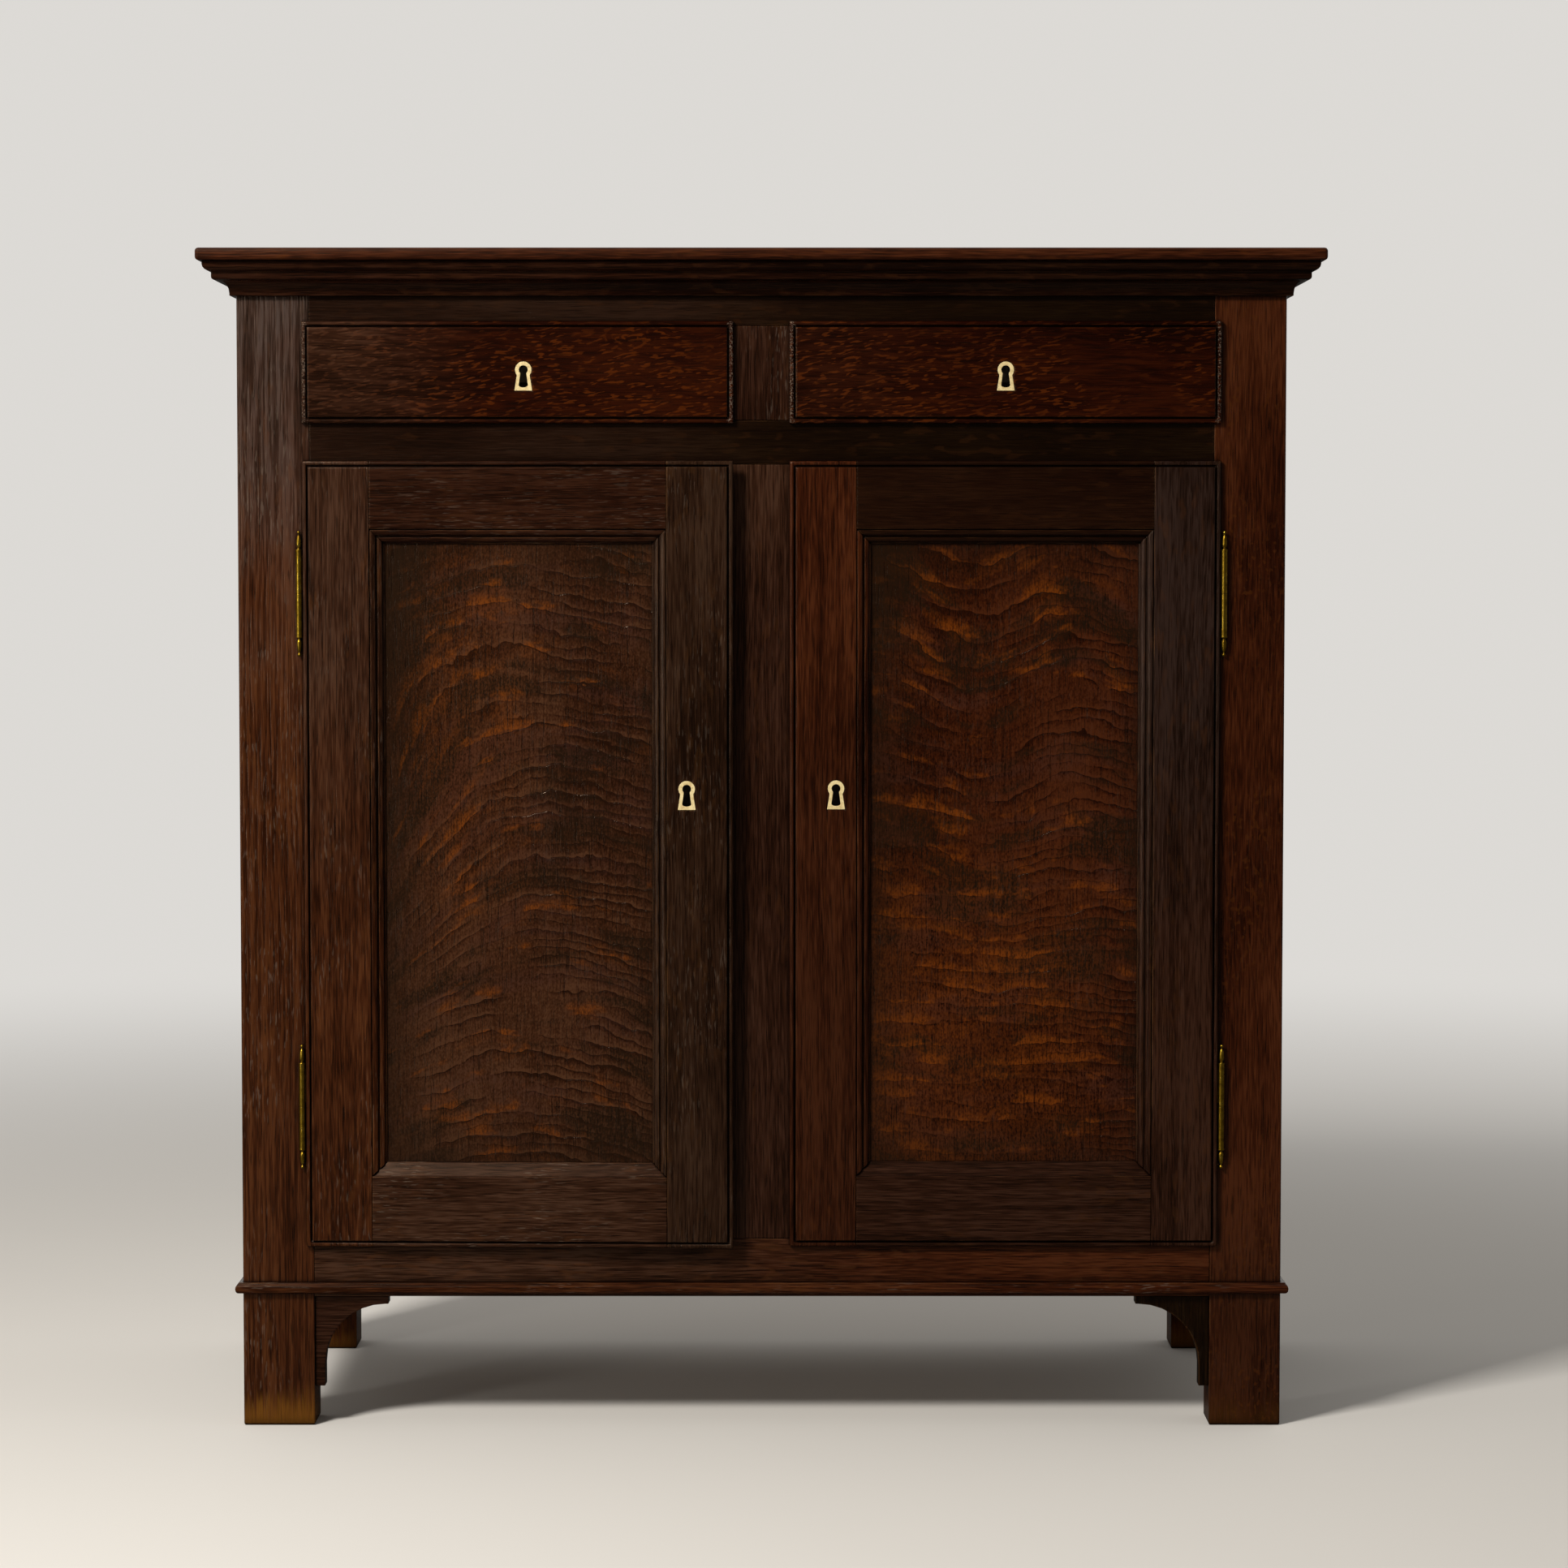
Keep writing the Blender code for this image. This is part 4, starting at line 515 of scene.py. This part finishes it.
def drawer_oak(name, node, swirl, grey, seed):
    """Oak with many short bright flakes along the grain; grey is how strongly its left end is painted with a
    greyish sheen.
    """
    material = bpy.data.materials.new(name)
    shader = Shader(material)
    grain = Grain(shader, "x", seed)
    x, y, z = shader.place()
    low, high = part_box(node)
    across = (x - low.x) / (high.x - low.x)
    stain = STAINS["crimson"]
    wave = shader.noise(shader.vector(x * 16.0, seed, z * 22.0), detail=2.0) - 0.5
    along, deep, up = FLAKES
    flake_place = shader.vector(x * along, y * deep, z * up + wave * 6.0 - x * FLAKE_SLOPE)
    flakes = shader.step(shader.noise(flake_place, detail=1.0), 0.57, 0.63)
    along, deep, up = LONG_STREAKS
    long_place = shader.vector(x * along, y * deep, z * up + wave * 5.0)
    streaks = shader.noise(long_place, detail=2.0)
    if swirl is not None:
        # Round a knot the flakes lie in broken rings about its middle.
        dx = x - swirl[0]
        dz = (z - swirl[1]) * KNOT_FLATTENED
        reach = shader.math("SQRT", dx * dx + dz * dz) + wave * 0.012
        rings = shader.step(shader.math("SINE", reach * KNOT_RINGS), 0.25, 0.75)
        broken = shader.step(shader.noise(shader.vector(x * 110.0, seed, z * 110.0), detail=1.0), 0.48, 0.58)
        flakes = shader.math("MAXIMUM", flakes, rings * broken * shader.step(reach, 0.032, 0.016))
    tone = grain.tone(0.4, 0.06, 0.8, 1.5) + (streaks - 0.5) * 1.2
    colour = tone_colour(shader, stain, tone)
    colour = shader.mix(flakes * shader.step(grain.blotches, 0.34, 0.62) * FLAKE_SHARE, colour, stain.fleck)
    # Painted sheen: the left end turns greyer and browner, as where the lamp's sheen lies on it.
    sheened_end = shader.step(across + (grain.patches - 0.5) * 0.4, 0.45, 0.0)
    colour = shader.mix(sheened_end * grey, colour, tone_colour(shader, STAINS["brown"], tone + flakes * 0.25))
    # Painted highlights: pale specks along the bead and arris at each end of the front.
    end_glints = shader.step(across, 0.016, 0.013) + shader.step(across, 0.984, 0.987)
    specks = shader.step(shader.noise(shader.vector(x, y, z), 800.0, 2.0), 0.52, 0.62)
    colour = shader.mix(end_glints * specks * 0.7, colour, WAX_GLINT_COLOUR)
    height = streaks * 0.18 + flakes * 0.05 + grain.combing * 0.12 - grain.dashes * 0.03
    finish_oak(shader, grain, colour, height, inner=BEHIND, wear=0.5, wax=0.0)
    return material


# Back

def back_oak(name, seed):
    """Unfinished upright boards side by side, each of its own tone."""
    material = bpy.data.materials.new(name)
    shader = Shader(material)
    grain = Grain(shader, "z", seed)
    place = shader.place()[0] / BACK_BOARD
    number = shader.math("FLOOR", place)
    own_tone = shader.node("ShaderNodeTexWhiteNoise", {"W": number + seed}, noise_dimensions="1D")
    colour = tone_colour(shader, STAINS["raw"], grain.tone(patches=1.0) + (own_tone - 0.5) * 0.30)
    off_middle = shader.math("ABSOLUTE", shader.math("FRACT", place) - 0.5)
    seam = shader.step(off_middle, 0.5 - BACK_SEAM / BACK_BOARD, 0.5)
    colour = shader.mix(seam * 0.9, colour, PORE_AND_SHADE_COLOUR)
    height = grain.combing * 0.22 - grain.dashes * 0.12 - seam
    finish_oak(shader, grain, colour, height, **RAW)
    return material


# Metal and inlay

def brass(name):
    """Old brass with brown tarnish in patches, fine scratches and dirt in its corners."""
    material = bpy.data.materials.new(name)
    shader = Shader(material)
    x, y, z = shader.place()
    place = shader.vector(x, y, z)
    tarnish = shader.noise(place, 160.0, 4.0, 0.6)
    scratches = shader.noise(shader.vector(x * 900.0, y * 900.0, z * 60.0), detail=2.0)
    near = shader.node("ShaderNodeAmbientOcclusion", {"Distance": BRASS_REACH}, "AO", samples=6)
    colour = shader.ramp(tarnish, *BRASS_TONES)
    colour = shader.mix(shader.step(near, 0.85, 0.30) * 0.8, colour, BRASS_DIRT)
    bump = {"Strength": 0.25, "Distance": FINE_DEPTH, "Height": scratches * 0.5 + tarnish}
    shader.principled({
        "Base Color": colour,
        "Metallic": 1.0,
        "Roughness": shader.step(tarnish, 0.75, 0.25) * 0.20 + 0.24,
        "Normal": shader.node("ShaderNodeBump", bump),
    })
    return material


def bone(name):
    """Pale bone inlay with fine dark specks and browned edges."""
    material = bpy.data.materials.new(name)
    shader = Shader(material)
    x, y, z = shader.place()
    place = shader.vector(x, y, z)
    cloud = shader.noise(place, 240.0, 3.0, 0.6)
    specks = shader.step(shader.noise(place, 1100.0, 1.0), 0.66, 0.74)
    near = shader.node("ShaderNodeAmbientOcclusion", {"Distance": BONE_REACH}, "AO", samples=6)
    colour = shader.ramp(cloud, *BONE_TONES)
    colour = shader.mix(specks * 0.65, colour, BONE_SPECK)
    colour = shader.mix(shader.step(near, 0.75, 0.25) * 0.7, colour, BONE_DIRT)
    bump = {"Strength": 0.3, "Distance": FINE_DEPTH, "Height": cloud - specks}
    shader.principled({
        "Base Color": colour,
        "Roughness": 0.38 + cloud * 0.2,
        "Normal": shader.node("ShaderNodeBump", bump),
    })
    return material


def iron(name):
    """Dark wrought iron with a bloom of rust."""
    material = bpy.data.materials.new(name)
    shader = Shader(material)
    x, y, z = shader.place()
    place = shader.vector(x, y, z)
    rust = shader.noise(place, 130.0, 5.0, 0.65)
    pits = shader.noise(place, 700.0, 2.0)
    bump = {"Strength": 0.5, "Distance": IRON_DEPTH, "Height": rust + pits * 0.5}
    shader.principled({
        "Base Color": shader.ramp(rust, *IRON_TONES),
        "Metallic": shader.step(rust, 0.75, 0.45) * 0.8,
        "Roughness": 0.42 + rust * 0.3,
        "Normal": shader.node("ShaderNodeBump", bump),
    })
    return material


# Which finish each node has

def finish_nodes():
    """Give every node of the frame its finish."""
    inside = {"left": (1.0, 0.0, 0.0), "right": (-1.0, 0.0, 0.0)}
    calm = (0.5, 0.08, 0.7, 1.4)
    mottled = (0.5, 0.20, 1.2, 2.2)
    finishes = {
        "top_board": plain_oak("top_oak", "russet", "x", 1.3, wear=0.5, dull=0.42, shine=0.12),
        "cornice": plain_oak(
            "cornice_oak", "walnut", "moulding", 2.1, turning=("sable", 0, -0.2, 0.3), wear=0.35, wax=0.0
        ),
        "base_moulding": plain_oak(
            "base_oak", "tan", "moulding", 2.9, turning=("russet", 0, 0.0, 0.3), wax=0.35
        ),
        "top_rail": plain_oak(
            "top_rail_oak", "soot", "x", 3.7, weights=calm, turning=("black", 0, -0.1, 0.2), inner=BEHIND,
            wax=0.0,
        ),
        "middle_rail": plain_oak(
            "middle_rail_oak", "soot", "x", 4.4, weights=calm, turning=("black", 0, -0.2, 0.1), inner=BEHIND,
            wax=0.0,
        ),
        "bottom_rail": plain_oak(
            "bottom_rail_oak", "brown", "x", 5.2, turning=("russet", 0, -0.1, 0.2), inner=BEHIND
        ),
        "drawer_stile": plain_oak("drawer_stile_oak", "dark", "z", 6.1, inner=BEHIND, wax=0.25),
        "centre_stile": plain_oak(
            "centre_stile_oak", "dark", "z", 7.24, turning=("brown", 2, 0.78, 0.95), inner=BEHIND
        ),
        "left_door_hinge_stile": plain_oak(
            "left_hinge_stile_oak", "tan", "z", 7.87, turning=("brown", 2, 0.40, 0.80), relief=2.0,
            inner=BEHIND, wax=0.2,
        ),
        "left_door_lock_stile": plain_oak(
            "left_lock_stile_oak", "olive", "z", 9.11, weights=mottled, inner=BEHIND, wax=0.15
        ),
        "left_door_top_rail": plain_oak(
            "left_top_rail_oak", "walnut", "x", 9.4, relief=2.0, inner=BEHIND, wax=0.15
        ),
        "left_door_bottom_rail": plain_oak(
            "left_bottom_rail_oak", "brown", "x", 10.2, inner=BEHIND, wax=0.35
        ),
        "right_door_hinge_stile": plain_oak(
            "right_hinge_stile_oak", "dark", "z", 11.47, turning=("dusk", 2, 0.40, 0.75), inner=BEHIND
        ),
        "right_door_lock_stile": plain_oak(
            "right_lock_stile_oak", "rust", "z", 12.1, turning=("russet", 2, 0.40, 0.95), inner=BEHIND
        ),
        "right_door_top_rail": plain_oak(
            "right_top_rail_oak", "sable", "x", 13.0, weights=calm, inner=BEHIND, wax=0.0
        ),
        "right_door_bottom_rail": plain_oak("right_bottom_rail_oak", "dark", "x", 13.8, inner=BEHIND),
        "left_door_panel": panel_oak(
            "left_panel_oak", "left_door_panel", "umber", left_bend, LEFT_PITCHES, left_glow, 14.7
        ),
        "right_door_panel": panel_oak(
            "right_panel_oak", "right_door_panel", "amber", right_bend, RIGHT_PITCHES, right_glow, 15.5
        ),
        "left_drawer_front": drawer_oak("left_drawer_oak", "left_drawer_front", KNOT, 0.85, 16.4),
        "right_drawer_front": drawer_oak("right_drawer_oak", "right_drawer_front", None, 0.12, 17.2),
        # The left post turns grey towards its head: a painted sheen.
        "front_left_post": plain_oak(
            "left_post_oak", "tan", "z", 18.44, flecks=0.2, weights=(0.6, 0.34, 1.0, 1.3), relief=5.0,
            turning=("grey", 2, 0.70, 1.20), inner=BEHIND, foot=0.75, wax=0.25,
        ),
        "front_right_post": plain_oak(
            "right_post_oak", "rust", "z", 19.81, flecks=0.50, fleck_size=(260.0, 150.0),
            weights=(0.3, 0.06, 1.3, 2.1), turning=("russet", 2, 0.12, 0.28), inner=BEHIND, foot=0.15,
        ),
        "left_bracket": plain_oak("left_bracket_oak", "dark", "x", 21.6),
        "right_bracket": plain_oak("right_bracket_oak", "black", "z", 21.9),
    }
    rear = plain_oak("rear_post_oak", "russet", "z", 20.4, foot=0.5)
    raw_along = plain_oak("inside_long_oak", "raw", "x", 22.3, **RAW)
    raw_deep = plain_oak("inside_deep_oak", "raw", "y", 23.5, **RAW)
    hinge_brass = brass("dull_brass")
    plate_bone = bone("pale_bone")
    lock_iron = iron("dark_iron")
    for name in ("bottom_board", "shelf", "drawer_deck"):
        finishes[name] = raw_along
    finishes["back_panel"] = back_oak("back_oak", 24.1)
    for hand in ("left", "right"):
        finishes[f"rear_{hand}_post"] = rear
        side_oak = plain_oak(f"{hand}_side_oak", "russet", "z", 25.2, inner=inside[hand])
        finishes[f"{hand}_side_panel"] = side_oak
        for part in ("left_side", "right_side"):
            finishes[f"{hand}_drawer_{part}"] = raw_deep
        for part in ("back", "bottom"):
            finishes[f"{hand}_drawer_{part}"] = raw_along
    for name, node in NODES.items():
        if "hinge" in name and name.endswith("leaf"):
            finishes[name] = hinge_brass
        elif name.endswith("escutcheon"):
            finishes[name] = plate_bone
        elif "lock_case" in name or "lock_bolt" in name:
            finishes[name] = lock_iron
        node.material_slots[0].material = finishes[name]


# Edges

def smooth_group():
    """Geometry nodes that shade a mesh smooth, but for its sharp edges."""
    group = bpy.data.node_groups.new("smooth_shading", "GeometryNodeTree")
    group.interface.new_socket("Geometry", in_out="INPUT", socket_type="NodeSocketGeometry")
    group.interface.new_socket("Geometry", in_out="OUTPUT", socket_type="NodeSocketGeometry")
    start = group.nodes.new("NodeGroupInput")
    end = group.nodes.new("NodeGroupOutput")
    faces = group.nodes.new("GeometryNodeSetShadeSmooth")
    edges = group.nodes.new("GeometryNodeSetShadeSmooth")
    edges.domain = "EDGE"
    angle = group.nodes.new("GeometryNodeInputMeshEdgeAngle")
    gentle = group.nodes.new("FunctionNodeCompare")
    gentle.operation = "LESS_THAN"
    gentle.inputs[1].default_value = math.radians(SMOOTH_ANGLE)
    group.links.new(angle.outputs["Unsigned Angle"], gentle.inputs[0])
    group.links.new(start.outputs[0], faces.inputs["Geometry"])
    group.links.new(faces.outputs["Geometry"], edges.inputs["Geometry"])
    group.links.new(gentle.outputs[0], edges.inputs["Shade Smooth"])
    group.links.new(edges.outputs["Geometry"], end.inputs[0])
    return group


def soften_nodes():
    """Round off the edges of every node a little, and shade the curved ones smooth."""
    group = smooth_group()
    for node in NODES.values():
        weld = node.modifiers.new("weld", "WELD")
        weld.merge_threshold = MERGE
        flats = node.modifiers.new("flats", "DECIMATE")
        flats.decimate_type = "DISSOLVE"
        flats.angle_limit = math.radians(FLAT_ANGLE)
        bevel = node.modifiers.new("edges", "BEVEL")
        bevel.limit_method = "ANGLE"
        bevel.angle_limit = math.radians(SMOOTH_ANGLE)
        bevel.width = EDGE_ROUND
        bevel.segments = EDGE_STEPS
        smooth = node.modifiers.new("smooth", "NODES")
        smooth.node_group = group
        shade = node.modifiers.new("shade", "WEIGHTED_NORMAL")
        shade.keep_sharp = True
        shade.weight = NORMAL_WEIGHT


# Small fittings

def heads(name, places, axis, radius, rise, body):
    """Domed heads of nails, all in one piece, standing on a flat face."""
    shape = bmesh.new()
    turn = Vector((0.0, 0.0, 1.0)).rotation_difference(Vector(axis)).to_matrix()
    for place in places:
        rings = []
        for ring in range(HEAD_RINGS):
            angle = math.pi / 2 * ring / HEAD_RINGS
            width, up = radius * math.cos(angle), rise * math.sin(angle)
            rings.append([])
            for step in range(HEAD_STEPS):
                around = 2 * math.pi * step / HEAD_STEPS
                point = Vector((width * math.cos(around), width * math.sin(around), up))
                rings[-1].append(shape.verts.new(Vector(place) + turn @ point))
        for lower, upper in zip(rings, rings[1:]):
            for step in range(HEAD_STEPS):
                following = (step + 1) % HEAD_STEPS
                shape.faces.new((lower[step], lower[following], upper[following], upper[step]))
        shape.faces.new(rings[-1])
        shape.faces.new(list(reversed(rings[0])))
    mesh = bpy.data.meshes.new(name)
    shape.to_mesh(mesh)
    shape.free()
    mesh.shade_smooth()
    mesh.materials.append(bpy.data.materials["dark_iron"])
    piece = bpy.data.objects.new(name, mesh)
    bpy.context.scene.collection.objects.link(piece)
    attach(piece, body)


def back_nails():
    """Nails that hold the back in its rebates."""
    low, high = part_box("back_panel")
    count = round((high.z - low.z) / NAIL_SPACING)
    places = []
    for side in (low.x + NAIL_INSET, high.x - NAIL_INSET):
        for number in range(count):
            z = low.z + (number + 0.5) * (high.z - low.z) / count
            places.append((side, high.y, z))
    heads("back_nails", places, BEHIND, NAIL_RADIUS, NAIL_RISE, "carcass")


# Stage

def make_floor():
    """A pale floor that turns into the background away from the object."""
    mesh = bpy.data.meshes.new("floor")
    shape = bmesh.new()
    bmesh.ops.create_circle(shape, cap_ends=True, segments=96, radius=FLOOR_RADIUS)
    shape.to_mesh(mesh)
    shape.free()
    floor = bpy.data.objects.new("floor", mesh)
    floor.location.z = -FLOOR_DROP
    bpy.context.scene.collection.objects.link(floor)
    material = bpy.data.materials.new("pale_floor")
    shader = Shader(material)
    x, y, z = shader.place()
    distance = shader.math("SQRT", x * x + y * y)
    mottle = shader.noise(shader.vector(x, y, z), 3.0, 5.0, 0.6)
    grey = shader.mix((mottle - 0.5) * 0.12, FLOOR_COLOUR, FLOOR_MOTTLE)
    grey = shader.mix(shader.ray("Is Glossy Ray"), grey, FLOOR_MIRRORED)
    matt = shader.node("ShaderNodeBsdfDiffuse", {"Color": grey})
    glow = shader.node("ShaderNodeEmission", {"Color": BACKGROUND})
    far = shader.step(distance, FADE_START, FADE_END) * shader.ray("Is Camera Ray")
    surface = shader.node("ShaderNodeMixShader", {0: far, 1: matt, 2: glow})
    shader.node_output("ShaderNodeOutputMaterial", surface)
    mesh.materials.append(material)


def make_world():
    """A plain studio: pale to the camera, and dim behind it where the finish mirrors it."""
    world = bpy.data.worlds.new("studio")
    bpy.context.scene.world = world
    shader = Shader(world)
    _, y, _ = shader.place("Generated")
    front = shader.step(y, 0.10, -0.60)
    light = front * (AMBIENT_FRONT - AMBIENT_BACK) + AMBIENT_BACK
    mirrored = front * (DIM_SIDE - AMBIENT_BACK) + AMBIENT_BACK
    glossy = shader.ray("Is Glossy Ray")
    strength = light * (1.0 - glossy) + mirrored * glossy
    seen = shader.ray("Is Camera Ray")
    strength = strength * (1.0 - seen) + seen
    surface = shader.node("ShaderNodeBackground", {"Color": BACKGROUND, "Strength": strength})
    shader.node_output("ShaderNodeOutputWorld", surface)


def aim(thing, target):
    """Turn a lamp's or camera's -Z towards a point."""
    direction = Vector(target) - thing.location
    thing.rotation_euler = direction.to_track_quat("-Z", "Y").to_euler()


def make_lamp(name, place, size, power, spread):
    """A soft lamp that shines on the front of the object."""
    lamp = bpy.data.lights.new(name, "AREA")
    lamp.spread = math.radians(spread)
    lamp.shape = "RECTANGLE"
    lamp.size, lamp.size_y = size
    lamp.energy = power
    lamp.color = LAMP_COLOUR
    thing = bpy.data.objects.new(name, lamp)
    thing.location = place
    bpy.context.scene.collection.objects.link(thing)
    aim(thing, LAMP_TARGET)


def make_camera():
    """The photograph's view."""
    data = bpy.data.cameras.new("camera")
    data.lens = LENS
    data.sensor_width = SENSOR
    camera = bpy.data.objects.new("camera", data)
    camera.location = CAMERA_PLACE
    camera.rotation_euler = (math.radians(90.0 - CAMERA_DOWN), 0.0, 0.0)
    bpy.context.scene.collection.objects.link(camera)
    bpy.context.scene.camera = camera


bpy.context.scene.view_settings.view_transform = "Standard"
make_camera()
finish_nodes()
soften_nodes()
back_nails()
make_floor()
make_world()
make_lamp("key", KEY_PLACE, KEY_SIZE, KEY_POWER, KEY_SPREAD)
make_lamp("strip", STRIP_PLACE, STRIP_SIZE, STRIP_POWER, STRIP_SPREAD)
